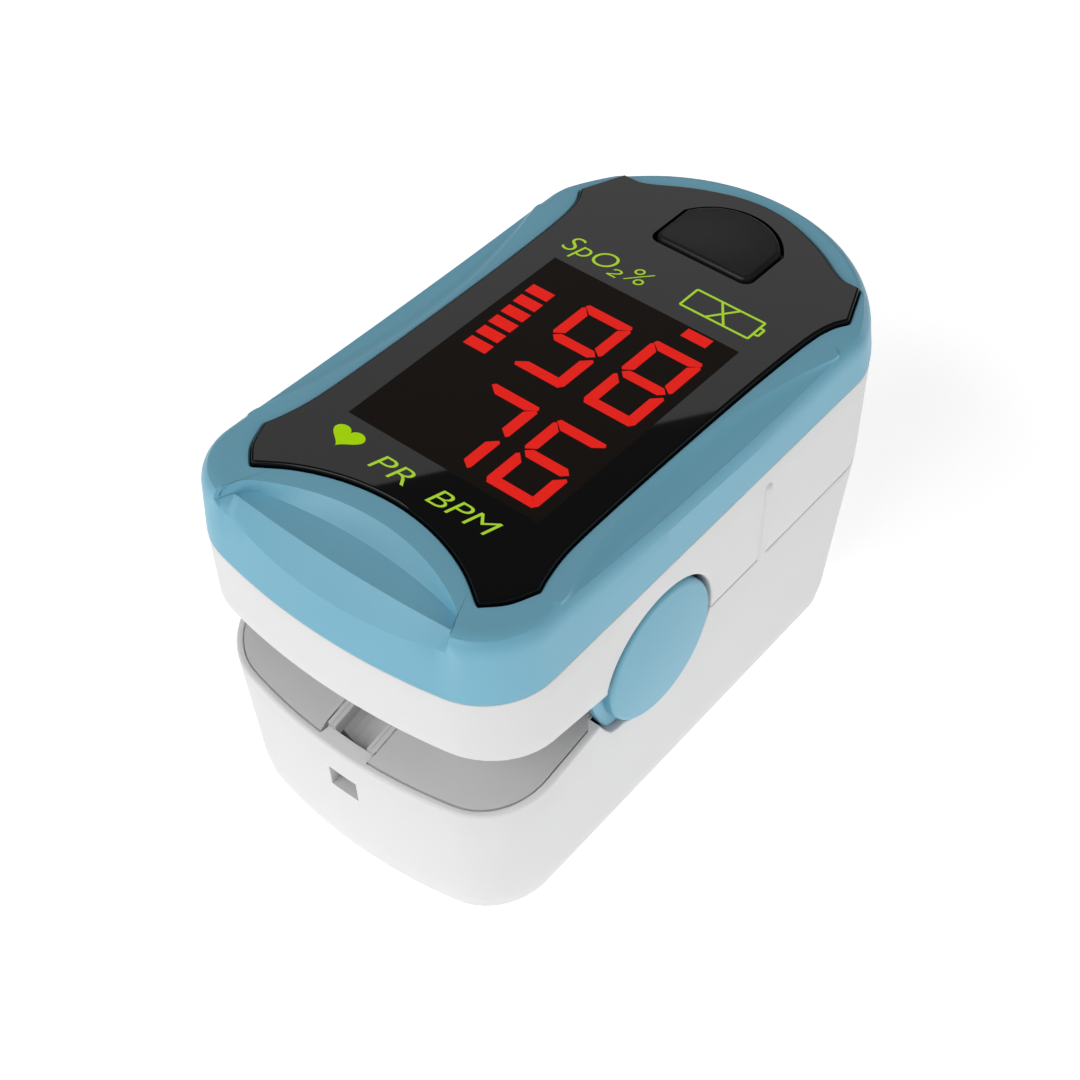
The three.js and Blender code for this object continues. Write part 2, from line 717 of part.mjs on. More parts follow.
function upperShell() {
  const outside = bodyLoft(UPPER_BODY);
  const room = cut(hollow(UPPER_BODY[0], UPPER_BODY[1], PARTING_Z, BEYOND), belowUpperEdge(1.2));
  const flange = overlap(
    outside,
    block([-BEYOND, BEYOND], [CHANNEL_START_Y - 1.2, BEYOND], [0, UPPER_FLANGE_TOP]),
  );
  const roof = overlap(
    outside,
    alongY(
      channelSection(CHANNEL_HALF_WIDTH + 0.9, CHANNEL_ROOF_Z + ROOF_THICKNESS, PARTING_Z, CHANNEL_CORNER + 1),
      CHANNEL_START_Y - 1.2,
      BEYOND,
    ),
  );
  let shell = join(cut(outside, room), flange, roof);
  for (const [x, y] of COVER_SCREWS) {
    const pad = postZ(x, y, SCREW_PAD.radius, seatZ(y) - 1, seatZ(y) + SCREW_PAD.height);
    shell = join(shell, overlap(outside, pad));
  }
  shell = cut(
    shell,
    belowUpperEdge(0),
    alongY(
      channelSection(CHANNEL_HALF_WIDTH, CHANNEL_ROOF_Z, 0, CHANNEL_CORNER),
      CHANNEL_START_Y,
      BEYOND,
    ),
    block([-SENSOR_HALF - GAP, SENSOR_HALF + GAP], [SENSOR_Y - SENSOR_HALF - GAP, SENSOR_Y + SENSOR_HALF + GAP], [22, 26]),
    block([-2, 2], [HINGE_Y - 1.4, HINGE_Y + 0.8], [17, 23]),
  );
  for (const side of BOTH_SIDES) {
    const ear = join(
      rodX(side * UPPER_EAR[0], side * UPPER_EAR[1], UPPER_EAR_RADIUS),
      block(
        UPPER_EAR.map((x) => x * side),
        [HINGE_Y - UPPER_EAR_RADIUS, HINGE_Y + UPPER_EAR_RADIUS],
        [HINGE_Z, 28],
      ),
      block([side * UPPER_EAR[0], side * 15], [HINGE_Y - UPPER_EAR_RADIUS, HINGE_Y + UPPER_EAR_RADIUS], [26.4, 28]),
    );
    shell = cut(shell, block([side * 8.4, side * 14.7], [-14.4, -3.1], [0, BORDER_Z]));
    shell = cut(shell, rodX(side * 14, side * BEYOND, CAP_RADIUS + GAP, 32));
    shell = cut(shell, alongX(tabSweep(), side * 14, side * (TAB_X[1] + GAP)));
    shell = cut(join(shell, ear), rodX(side * 10, side * 14, BORE_RADIUS, 16));
  }
  for (const [x, y] of COVER_SCREWS) {
    const seat = coverScrewHeadZ(y) + SCREW_HEAD_HEIGHT + GAP;
    shell = cut(
      shell,
      postZ(x, y, BOSS_BORE, 0, BEYOND),
      postZ(x, y, SCREW_HEAD_RADIUS + GAP, 0, seat),
    );
  }
  return shell;
}

// The part of the side wall that passes over the cap's tab when the clip is squeezed.
function tabSweep() {
  const from = Math.PI * 0.82;
  const to = Math.PI * 1.08;
  const inner = arc(HINGE_Y, HINGE_Z, 5.5, from, to, 4);
  const outer = arc(HINGE_Y, HINGE_Z, 9.3, to, from, 4);
  return [...outer, ...inner].reverse();
}

function topCover() {
  const ledgeTop = PANEL_TOP_Z - PANEL_THICKNESS - GAP;
  const ledgeBottom = ledgeTop - LEDGE_THICKNESS;
  const lowRoom = hollow(COVER_BODY[0], COVER_BODY[1], 0, 30);
  const highRoom = bodyLoft([
    { z: 29, width: 14.2, near: 25.4, far: 26.6 },
    { z: ledgeBottom, width: 14.0, near: 25.2, far: 26.2, slope: 1 },
  ]);
  let cover = cut(
    bodyLoft(COVER_BODY),
    lowRoom,
    highRoom,
    sloped(panelOutline(0.25), ledgeTop, BEYOND),
    thumbScoop(),
  );
  for (const side of BOTH_SIDES) {
    cover = cut(cover, sideScallop(side));
  }
  for (const [x, y] of COVER_SCREWS) {
    const bottom = seatZ(y) + SCREW_PAD.height + GAP;
    cover = join(cover, postZ(x, y, BOSS_RADIUS, bottom, 31.2));
  }
  for (const [x, y] of COVER_SCREWS) {
    cover = cut(cover, postZ(x, y, BOSS_BORE, 0, 29));
  }
  const { halfWidth, nearY, farY } = DISPLAY;
  return cut(
    cover,
    block([-halfWidth - 0.4, halfWidth + 0.4], [nearY - 0.4, farY + 0.4], [0, BEYOND]),
    alongZ(buttonOutline(GAP), 0, BEYOND),
  );
}

// A stepped crescent for the thumb: a short drop, a level rest, and a sloping front.
function thumbScoop() {
  const ridgeRadius = 18.6;
  const ridgeY = -22.1;
  const section = [
    [-BEYOND, 30.6],
    [-28.6, 30.6],
    [-26.0, 33.1],
    [-23.5, 33.25],
    [ridgeY, 34.4],
    [ridgeY, BEYOND],
    [-BEYOND, BEYOND],
  ].reverse();
  const crescent = alongZ(ring(ridgeRadius, 40).map(([x, y]) => [x, y + ridgeY - ridgeRadius]), 25, BEYOND);
  return overlap(alongX(section, -11.4, 11.4), crescent);
}

// A long shallow hollow between the panel and the shoulder.
function sideScallop(side) {
  const radius = 3.6;
  const depth = 0.55;
  const fromY = -20;
  const toY = 15;
  const section = arc(side * 13.95, COVER_TOP_Z + radius - depth, radius, 0, FULL_TURN * 23 / 24, 23);
  const geometry = extrude(section, toY - fromY, 4).rotateX(Math.PI / 2).translate(0, toY, 0);
  return solid(warped(geometry, (point) => {
    const along = (point.y - (fromY + toY) / 2) / ((toY - fromY) / 2);
    point.z += along * along * depth - TOP_SLOPE * point.y;
  }));
}

function displayPanel() {
  return cut(
    sloped(panelOutline(), PANEL_TOP_Z - PANEL_THICKNESS, PANEL_TOP_Z),
    alongZ(buttonOutline(GAP), 0, BEYOND),
  );
}

// The button's cap, with a flange that holds it under the ledge and presses on the switch.
function powerButton() {
  const cap = sloped(buttonOutline(), BUTTON_FLANGE_Z[0], BUTTON_TOP_Z);
  const flange = sloped(buttonOutline(BUTTON_FLANGE_WIDTH), ...BUTTON_FLANGE_Z);
  return join(cap, flange);
}

function tactileSwitch() {
  const half = 2.2;
  const body = block([-half, half], [SWITCH_Y - half, SWITCH_Y + half], [PCB_Z[1] + GAP, SWITCH_TOP_Z - 0.3]);
  return join(body, postZ(0, SWITCH_Y, 1, SWITCH_TOP_Z - 0.5, SWITCH_TOP_Z));
}

function mainBoard() {
  const farRound = arc(0, 11, 13.2, Math.acos(PCB_HALF_WIDTH / 13.2), Math.PI - Math.acos(PCB_HALF_WIDTH / 13.2), 8);
  return alongZ([[-PCB_HALF_WIDTH, -19], [PCB_HALF_WIDTH, -19], ...farRound], ...PCB_Z);
}

function ledDisplay() {
  const { halfWidth, nearY, farY } = DISPLAY;
  const tall = block([-halfWidth, halfWidth], [nearY, farY], [PCB_Z[1] + GAP, BEYOND]);
  const clear = PANEL_TOP_Z - PANEL_THICKNESS - GAP;
  return cut(tall, sloped([[-BEYOND, -BEYOND], [BEYOND, -BEYOND], [BEYOND, BEYOND], [-BEYOND, BEYOND]], clear, BEYOND * 2));
}

function microcontroller() {
  return block([-4, 4], [-18, -12.4], [PCB_Z[0] - GAP - 1.2, PCB_Z[0] - GAP]);
}

function lightEmitter() {
  return block([-SENSOR_HALF, SENSOR_HALF], [SENSOR_Y - SENSOR_HALF, SENSOR_Y + SENSOR_HALF], [23.1, PCB_Z[0] - GAP]);
}

function upperPad() {
  const outside = channelSection(CHANNEL_HALF_WIDTH - GAP, CHANNEL_ROOF_Z - GAP, 18.5, CHANNEL_CORNER - GAP);
  const inside = channelSection(
    CHANNEL_HALF_WIDTH - GAP - PAD_THICKNESS,
    CHANNEL_ROOF_Z - GAP - PAD_THICKNESS,
    0,
    CHANNEL_CORNER - PAD_THICKNESS,
  );
  return overlap(
    cut(
      alongY(outside, CHANNEL_START_Y + GAP, BEYOND),
      alongY(inside, CHANNEL_START_Y - 1, BEYOND),
      block([-SENSOR_HALF - GAP, SENSOR_HALF + GAP], [SENSOR_Y - SENSOR_HALF - GAP, SENSOR_Y + SENSOR_HALF + GAP], [22, 25]),
    ),
    mouthVolume(),
  );
}

// ---------------------------------------------------------------- materials
function finish(color, roughness, metalness = 0) {
  return new THREE.MeshStandardMaterial({ color, roughness, metalness });
}

const BLUE = finish(0x7fb1c8, 0.4);
const WHITE = finish(0xe6e6e4, 0.45);
const GREY = finish(0xb0b0b0, 0.55);
const GLOSS_BLACK = finish(0x141416, 0.12);
const BUTTON_BLACK = finish(0x2a2a2a, 0.45);
const RUBBER = finish(0x8e9498, 0.8);
const BOARD_GREEN = finish(0x1f5c3a, 0.5);
const CHIP_BLACK = finish(0x1c1c1e, 0.5);
const STEEL = finish(0xc4c6c8, 0.3, 1);
const CELL_SLEEVE = finish(0x5a6a78, 0.4, 0.3);
const CLEAR_RESIN = finish(0xd8dadc, 0.2);
const FLEX_AMBER = finish(0xb8752c, 0.5);

// ---------------------------------------------------------------- assembly
const oximeter = new THREE.Group();

function add(name, body, material) {
  const mesh = new THREE.Mesh(geometryOf(body), material);
  mesh.name = name;
  oximeter.add(mesh);
}

add('lower_shell', lowerShell(), WHITE);
add('finger_tray', fingerTray(), GREY);
add('lower_finger_pad', lowerPad(), RUBBER);
add('photo_sensor', photoSensor(), CHIP_BLACK);
add('sensor_board', sensorBoard(), BOARD_GREEN);
add('flex_cable', flexCable(), FLEX_AMBER);
add('cell_left', cell(-1), CELL_SLEEVE);
add('cell_right', cell(1), CELL_SLEEVE);
add('bridge_contact', bridgeContact(), STEEL);
add('spring_contact', nearSpringContact(), STEEL);
add('dome_contact', nearDomeContact(), STEEL);
add('battery_door', batteryDoor(), WHITE);
for (const [name, side] of [['left', -1], ['right', 1]]) {
  add(`hinge_cap_${name}`, hingeCap(side), BLUE);
  add(`hinge_pin_${name}`, hingePin(side), STEEL);
  add(`jaw_spring_${name}`, torsionSpring(side), STEEL);
}
TRAY_SCREWS.forEach(([x, y], i) => {
  add(`tray_screw_${i + 1}`, screw(x, y, TRAY_SCREW_SEAT_Z + SCREW_HEAD_HEIGHT, 10), STEEL);
});
add('upper_shell', upperShell(), WHITE);
add('top_cover', topCover(), BLUE);
add('display_panel', displayPanel(), GLOSS_BLACK);
add('power_button', powerButton(), BUTTON_BLACK);
add('tactile_switch', tactileSwitch(), CHIP_BLACK);
add('main_board', mainBoard(), BOARD_GREEN);
add('led_display', ledDisplay(), CHIP_BLACK);
add('microcontroller', microcontroller(), CHIP_BLACK);
add('light_emitter', lightEmitter(), CLEAR_RESIN);
add('upper_finger_pad', upperPad(), RUBBER);
COVER_SCREWS.forEach(([x, y], i) => {
  add(`cover_screw_${i + 1}`, screw(x, y, coverScrewHeadZ(y), coverScrewHeadZ(y) + 6.5), STEEL);
});

export default oximeter;
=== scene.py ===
import bisect
import json
import math

import bmesh
import bpy
from mathutils import Matrix, Vector


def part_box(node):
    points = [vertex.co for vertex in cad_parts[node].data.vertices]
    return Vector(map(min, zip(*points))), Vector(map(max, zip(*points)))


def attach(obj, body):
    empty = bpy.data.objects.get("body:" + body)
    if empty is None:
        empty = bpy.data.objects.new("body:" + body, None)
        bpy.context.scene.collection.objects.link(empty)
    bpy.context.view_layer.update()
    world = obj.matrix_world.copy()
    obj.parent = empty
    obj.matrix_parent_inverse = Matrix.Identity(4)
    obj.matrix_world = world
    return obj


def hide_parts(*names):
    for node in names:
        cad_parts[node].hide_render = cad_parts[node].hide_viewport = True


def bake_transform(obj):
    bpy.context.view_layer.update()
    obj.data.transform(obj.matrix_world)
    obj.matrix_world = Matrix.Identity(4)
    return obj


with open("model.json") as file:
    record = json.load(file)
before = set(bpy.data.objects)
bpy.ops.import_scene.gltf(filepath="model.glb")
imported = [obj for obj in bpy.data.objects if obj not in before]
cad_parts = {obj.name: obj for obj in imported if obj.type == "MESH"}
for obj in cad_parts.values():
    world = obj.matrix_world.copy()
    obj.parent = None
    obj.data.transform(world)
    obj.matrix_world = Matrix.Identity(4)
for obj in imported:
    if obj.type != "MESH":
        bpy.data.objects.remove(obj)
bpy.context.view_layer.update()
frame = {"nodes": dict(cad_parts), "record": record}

MM = 0.001
UP = Vector((0, 0, 1))

# -------- driving dimensions
HALF_WIDTH = 16.0
HALF_LENGTH = 29.0
NEAR_ARC_RADIUS = 54.5
NEAR_CORNER_RADIUS = 6.3
FAR_ARC_RADIUS = 17.0
FAR_CORNER_RADIUS = 5.0
WALL = 1.3
GAP = 0.3
SIDES = ((-1, "left"), (1, "right"))

PARTING_Z = 18.0
PARTING_LINE = 0.16          # width of the line between the two white shells
UPPER_LOW_Z = PARTING_Z + PARTING_LINE / 2
LOWER_HIGH_Z = PARTING_Z - PARTING_LINE / 2
BORDER_Z = 28.35
BORDER_LINE = 0.1            # width of the line between white shell and blue cover
UPPER_HIGH_Z = BORDER_Z - BORDER_LINE / 2
COVER_LOW_Z = BORDER_Z + BORDER_LINE / 2
COVER_TOP_Z = 33.15          # blue surface at y = 0
PANEL_TOP_Z = 33.5           # black panel surface at y = 0
TOP_SLOPE = 0.0528           # the top falls towards the finger end
PANEL_THICKNESS = 1.2

HINGE_Y = -8.75
CAP_Z = 19.0                 # the disc is centred 0.3 below the hinge line
CAP_RADIUS = 6.2
CAP_OFFSET = 0.14            # the disc sits a little low and far in its opening
CAP_HOLE_RADIUS = 6.65

WEDGE_VERTEX_Y = -15.5
UPPER_EDGE_Z = 20.0
UPPER_EDGE_SLOPE = 0.155
LOWER_RIM_Z = 16.8
LOWER_RIM_SLOPE = 0.22

CHANNEL_HALF_WIDTH = 9.0
CHANNEL_FLOOR_Z = 13.35
CHANNEL_ROOF_Z = 24.3
CHANNEL_START_Y = -4.0
CHANNEL_CORNER = 2.5
PAD_THICKNESS = 1.0

DOORWAY_HALF_WIDTH = 11.4
DOORWAY_NEAR_Y = -22.3
DOORWAY_TOP_Z = 1.75
FLOOR_TOP = 2.6
DOOR_START_Y = -22.0
DOOR_THICKNESS = 1.45
DOOR_FOOT = 1.1              # how far in the door's far edge is rounded

LIP = 0.58                   # width of the thin lip around the deck
LIP_END_Y = -16.15           # beyond this the rim widens to the full wall
LIP_EDGE = 0.3               # radius of the lip's outer edge
SHELL_EDGE = 0.16            # radius of the white shells' other edges
TAB_ROOM = 0.8               # how much the upper wall is thinned beside the hinge cap's tab
TAB_POCKET = (-18.2, -10.8)  # near and far end of the thinned stretch
CORD_SLOT = (1.5, 8.5, 10.8)           # half width, low and high

DECK_END_Y = -13.2
GROOVE_HALF = 1.65
GROOVE_BORDER = 2.0          # a fine line runs beside the groove here
GROOVE_END_Y = -17.9         # far end of the deck's groove
GROOVE_WALL = 1.35           # depth of the groove's upright sides
RIM_TAB_Y = -27.2            # the deck's edge behind the rim's tab
RIM_STEP_X = 2.5             # half width of the rim's tab
RIM_TAB_EXTRA = 0.25         # the tab is this much thicker than the wall
RIM_TAB_HALF = 2.58          # half width of the deck's notch around the tab
DECK_GAP = 0.1
DECK_LEDGE = 0.3             # the fine line between rim and deck is this deep
DECK_UNDER = 0.55

RIDGE_RADIUS = 18.6          # the scoop's ridge, seen from above
RIDGE_Y = -21.9
SCOOP_HALF = 11.25
NOSE_START = 9.95            # where the ridge leaves its arc and turns down to the shoulder
SCALLOP = {"centre_y": -2.5, "half_length": 17.5, "inner_x": 12.5, "spread": 2.9}

WINDOW = (-9.2, -15.0, 9.2, 9.6)       # display window: left, near, right, far
BUTTON = {"half_width": 4.75, "near_y": 16.9, "side_y": 21.6, "far_y": 24.4, "top_z": 33.8}

STATION_STEP = 0.8           # spacing of the cross-sections along the white walls
COVER_STEP = 0.45            # the same around the cover
NOSE_STEP = 0.12             # and at the ends of the scoop's ridge
SMOOTH_ANGLE = math.radians(32)

# Body levels: height, half width, near reach, far reach.
FOOT_HALF_WIDTH, FOOT_FAR_Y = 14.45, 27.3
FOOT_HEIGHT = 1.3
LOWER_LEVELS = [(0.0, 14.35, 28.25, 27.1), (FOOT_HEIGHT, FOOT_HALF_WIDTH, 28.35, FOOT_FAR_Y),
                (PARTING_Z, 15.75, 28.9, 28.9)]
UPPER_LEVELS = [LOWER_LEVELS[-1], (BORDER_Z, HALF_WIDTH, HALF_LENGTH, HALF_LENGTH)]


# -------- plan outline
def corner_centre(arc_radius, corner_radius):
    x = HALF_WIDTH - corner_radius
    rise = math.sqrt((arc_radius - corner_radius) ** 2 - x ** 2)
    return x, rise, math.atan2(rise, x)


def arc(centre, radius, start, end, steps):
    """Points on an arc, both ends included."""
    angles = [start + (end - start) * i / steps for i in range(steps + 1)]
    return [(centre[0] + radius * math.cos(a), centre[1] + radius * math.sin(a)) for a in angles]


def arc_with_normals(centre, radius, start, end, steps):
    points = arc(centre, radius, start, end, steps)
    return [(x, y, (x - centre[0]) / radius, (y - centre[1]) / radius) for x, y in points]


def rectangle(left, near, right, far):
    return [(left, near), (right, near), (right, far), (left, far)]


def rounding(radius, steps):
    """(inset, drop) pairs around a rounded edge, from the wall to the flat."""
    return [(radius - x, radius - y) for x, y in arc((0, 0), radius, 0, math.pi / 2, steps)]


def right_half_outline():
    """The body's plan from the near centre to the far centre, as (x, y, normal x, normal y)."""
    near_x, near_rise, near_angle = corner_centre(NEAR_ARC_RADIUS, NEAR_CORNER_RADIUS)
    far_x, far_rise, far_angle = corner_centre(FAR_ARC_RADIUS, FAR_CORNER_RADIUS)
    near_y = NEAR_ARC_RADIUS - HALF_LENGTH
    far_y = HALF_LENGTH - FAR_ARC_RADIUS
    half = arc_with_normals((0, near_y), NEAR_ARC_RADIUS, -math.pi / 2, -near_angle, 60)
    half += arc_with_normals((near_x, near_y - near_rise), NEAR_CORNER_RADIUS, -near_angle, 0, 60)[1:]
    half += arc_with_normals((far_x, far_y + far_rise), FAR_CORNER_RADIUS, 0, far_angle, 40)
    half += arc_with_normals((0, far_y), FAR_ARC_RADIUS, far_angle, math.pi / 2, 90)[1:]
    return half


HALF = right_half_outline()
TRAVEL = [0.0]
for before, after in zip(HALF, HALF[1:]):
    TRAVEL.append(TRAVEL[-1] + math.hypot(after[0] - before[0], after[1] - before[1]))
HALF_TRAVEL = TRAVEL[-1]


def plan(s):
    """Point and normal at travel s from the near centre; negative s is the left side."""
    side = -1 if s < 0 else 1
    s = min(abs(s), HALF_TRAVEL)
    low = min(bisect.bisect_right(TRAVEL, s) - 1, len(TRAVEL) - 2)
    part = (s - TRAVEL[low]) / (TRAVEL[low + 1] - TRAVEL[low])
    x, y, nx, ny = (a + (b - a) * part for a, b in zip(HALF[low], HALF[low + 1]))
    return side * x, y, side * nx, ny


def travel_where(test):
    """Travel along the right side at which test(x, y) first becomes true."""
    low, high = 0.0, HALF_TRAVEL
    for _ in range(50):
        middle = (low + high) / 2
        x, y, _nx, _ny = plan(middle)
        if test(x, y):
            high = middle
        else:
            low = middle
    return high


def travel_at_y(y):
    return travel_where(lambda _x, at: at >= y)


def travel_at_near_x(x):
    return travel_where(lambda at, y: at >= x or y > 0)


def travel_at_far_x(x):
    return travel_where(lambda at, y: y > 20 and at <= x)


def level_at(levels, z):
    """Half width, near reach and far reach at height z."""
    for low, high in zip(levels, levels[1:]):
        if z <= high[0] or high is levels[-1]:
            part = (z - low[0]) / (high[0] - low[0])
            return [a + (b - a) * part for a, b in zip(low[1:], high[1:])]
    return levels[-1][1:]


def wall_point(s, z, inset, levels):
    """A point on the body's wall, or inset from it along the plan normal."""
    x, y, nx, ny = plan(s)
    width, near, far = level_at(levels, z)
    reach = near if y < 0 else far
    return Vector((x * width / HALF_WIDTH - nx * inset, y * reach / HALF_LENGTH - ny * inset, z))


def top_z(y):
    return COVER_TOP_Z - TOP_SLOPE * y


def panel_z(y):
    return PANEL_TOP_Z - TOP_SLOPE * y


def upper_edge(y):
    return UPPER_EDGE_Z + (WEDGE_VERTEX_Y - y) * UPPER_EDGE_SLOPE


def lower_rim(y):
    return LOWER_RIM_Z - (WEDGE_VERTEX_Y - y) * LOWER_RIM_SLOPE


def smoothstep(value):
    value = min(max(value, 0.0), 1.0)
    return value * value * (3 - 2 * value)


# -------- mesh helpers
def add_object(name, data):
    obj = bpy.data.objects.new(name, data)
    bpy.context.scene.collection.objects.link(obj)
    return obj


def add_mesh(name, points, faces):
    """A mesh object from millimetre points."""
    mesh = bpy.data.meshes.new(name)
    mesh.from_pydata([Vector(p) * MM for p in points], [], faces)
    return add_object(name, mesh)


def mark_corners(work, angle=SMOOTH_ANGLE):
    """Turns normals outward and keeps only real corners sharp."""
    bmesh.ops.recalc_face_normals(work, faces=work.faces)
    for edge in work.edges:
        edge.smooth = len(edge.link_faces) == 2 and edge.calc_face_angle() < angle


def finish_edges(obj, angle=SMOOTH_ANGLE, merge=0.004):
    """Merges doubled points and shades the surface smooth between its corners."""
    work = bmesh.new()
    work.from_mesh(obj.data)
    bmesh.ops.remove_doubles(work, verts=work.verts, dist=merge * MM)
    bmesh.ops.dissolve_degenerate(work, edges=work.edges, dist=0.0005 * MM)
    for face in work.faces:
        face.smooth = True
    mark_corners(work, angle)
    work.to_mesh(obj.data)
    work.free()
    return obj


def skin(name, loops, around=True, capped=False, folded=False):
    """Joins loops of equal length, each a closed cross-section, into one surface.

    A folded loop runs out along one row and back along another, and its caps are strips between them.
    """
    count = len(loops[0])
    points = [p for loop in loops for p in loop]
    faces = []
    spans = len(loops) if around else len(loops) - 1
    for i in range(spans):
        here, there = i * count, ((i + 1) % len(loops)) * count
        for k in range(count):
            after = (k + 1) % count
            faces.append((here + k, here + after, there + after, there + k))
    if capped:
        for first in (0, (len(loops) - 1) * count):
            ring = [first + k for k in range(count)]
            if folded:
                faces += [(ring[k], ring[k + 1], ring[-2 - k], ring[-1 - k]) for k in range(count // 2 - 1)]
            else:
                faces.append(tuple(ring))
    return finish_edges(add_mesh(name, points, faces))


def dress(obj, body, slot, *nodes, material=None):
    """Gives a piece its body and the material of its slot or the one given, and hides the CAD nodes it stands
    for.
    """
    obj.data.materials.clear()
    obj.data.materials.append(material or SLOT_MATERIAL[slot])
    if body:
        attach(obj, body)
    if nodes:
        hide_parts(*nodes)
    return obj


def evaluated_mesh(obj):
    bpy.context.view_layer.update()
    return bpy.data.meshes.new_from_object(obj.evaluated_get(bpy.context.evaluated_depsgraph_get()))


def prism(name, outline, low, high, edge=0.0, sloping=False, steps=3):
    """A solid over a plan outline, with rounded upper edges when edge is above 0."""
    centre = Vector((sum(p[0] for p in outline), sum(p[1] for p in outline))) / len(outline)

    def ring(inset, z):
        loop = []
        for i, p in enumerate(outline):
            before, after = Vector(outline[i - 1]), Vector(outline[(i + 1) % len(outline)])
            along = (after - before).normalized()
            normal = Vector((along.y, -along.x))
            if normal.dot(Vector(p) - centre) < 0:
                normal = -normal
            x, y = Vector(p) - normal * inset
            loop.append((x, y, z - (TOP_SLOPE * y if sloping else 0)))
        return loop

    rim = rounding(edge, steps) if edge else [(0, 0)]
    loops = [ring(0, low)] + [ring(inset, high - drop) for inset, drop in rim]
    return skin(name, loops, around=False, capped=True)


def turned(name, profile, centre, axis, steps=72):
    """A solid of revolution; profile is (radius, distance along the axis)."""
    axis = Vector(axis).normalized()
    first = axis.orthogonal().normalized()
    second = axis.cross(first)
    loops = []
    for i in range(steps):
        angle = 2 * math.pi * i / steps
        out = first * math.cos(angle) + second * math.sin(angle)
        loops.append([Vector(centre) + out * r + axis * h for r, h in profile])
    return skin(name, loops)


# -------- materials
def nodes_of(name):
    material = bpy.data.materials.new(name)
    material.use_nodes = True
    tree = material.node_tree
    return material, tree, tree.nodes["Principled BSDF"]


def set_inputs(node, values):
    for name, value in values.items():
        node.inputs[name].default_value = value


def object_noise(tree, scale, detail=3.0):
    """Noise over the object's own coordinates, which are metres."""
    place = tree.nodes.new("ShaderNodeTexCoord")
    noise = tree.nodes.new("ShaderNodeTexNoise")
    set_inputs(noise, {"Scale": scale, "Detail": detail})
    tree.links.new(place.outputs["Object"], noise.inputs["Vector"])
    return noise


def spread(tree, source, low, high):
    """Maps a 0-1 value to a range."""
    ranged = tree.nodes.new("ShaderNodeMapRange")
    set_inputs(ranged, {"To Min": low, "To Max": high})
    tree.links.new(source, ranged.inputs["Value"])
    return ranged.outputs["Result"]


def tint(tree, source, dark, light):
    ramp = tree.nodes.new("ShaderNodeValToRGB")
    for element, position, colour in zip(ramp.color_ramp.elements, (0.3, 0.7), (dark, light)):
        element.position = position
        element.color = (*colour, 1)
    tree.links.new(source, ramp.inputs["Fac"])
    return ramp.outputs["Color"]


def scaled(colour, factor):
    return tuple(min(c * factor, 1.0) for c in colour)


def moulded(name, colour, roughness, grain=0.012, grain_size=0.25, vary=0.02, metallic=0.0,
            specular=0.5, uneven=0.04):
    """A surface with faint colour and gloss variation and a fine grain, in millimetres."""
    material, tree, shader = nodes_of(name)
    broad = object_noise(tree, 1 / (9 * MM))
    fine = object_noise(tree, 1 / (grain_size * MM), 2.0)
    bump = tree.nodes.new("ShaderNodeBump")
    set_inputs(bump, {"Strength": 0.35, "Distance": grain * MM})
    tree.links.new(fine.outputs["Fac"], bump.inputs["Height"])
    tree.links.new(bump.outputs["Normal"], shader.inputs["Normal"])
    colours = tint(tree, broad.outputs["Fac"], scaled(colour, 1 - vary), scaled(colour, 1 + vary))
    tree.links.new(colours, shader.inputs["Base Color"])
    rough = spread(tree, broad.outputs["Fac"], roughness - uneven, roughness + uneven)
    tree.links.new(rough, shader.inputs["Roughness"])
    set_inputs(shader, {"Metallic": metallic, "Specular IOR Level": specular})
    return material


def glowing(name, colour, strength):
    """A lit printed mark: emission with a faint grain in its strength."""
    material, tree, shader = nodes_of(name)
    grain = object_noise(tree, 1 / (0.6 * MM))
    set_inputs(shader, {"Base Color": (*scaled(colour, 0.35), 1), "Roughness": 0.45,
                        "Specular IOR Level": 0.1, "Emission Color": (*colour, 1)})
    power = spread(tree, grain.outputs["Fac"], strength * 0.94, strength * 1.06)
    tree.links.new(power, shader.inputs["Emission Strength"])
    return material


def banded_sleeve(name):
    """A battery sleeve: dark body, one pale band near each end, set by position along Y."""
    material, tree, shader = nodes_of(name)
    place = tree.nodes.new("ShaderNodeTexCoord")
    split = tree.nodes.new("ShaderNodeSeparateXYZ")
    tree.links.new(place.outputs["Object"], split.inputs["Vector"])
    low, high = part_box("cell_left")
    along = tree.nodes.new("ShaderNodeMapRange")
    set_inputs(along, {"From Min": low.y, "From Max": high.y})
    tree.links.new(split.outputs["Y"], along.inputs["Value"])
    ramp = tree.nodes.new("ShaderNodeValToRGB")
    ramp.color_ramp.interpolation = "CONSTANT"
    steel, dark, copper = (0.55, 0.55, 0.56, 1), (0.04, 0.07, 0.12, 1), (0.42, 0.3, 0.1, 1)
    bands = [(0.0, steel), (0.035, dark), (0.3, copper), (0.36, dark), (0.95, steel)]
    ramp.color_ramp.elements[0].color = bands[0][1]
    ramp.color_ramp.elements[1].position = bands[1][0]
    ramp.color_ramp.elements[1].color = bands[1][1]
    for position, colour in bands[2:]:
        ramp.color_ramp.elements.new(position).color = colour
    tree.links.new(along.outputs["Result"], ramp.inputs["Fac"])
    tree.links.new(ramp.outputs["Color"], shader.inputs["Base Color"])
    wear = object_noise(tree, 1 / (3 * MM))
    tree.links.new(spread(tree, wear.outputs["Fac"], 0.25, 0.42), shader.inputs["Roughness"])
    shader.inputs["Metallic"].default_value = 0.75
    return material


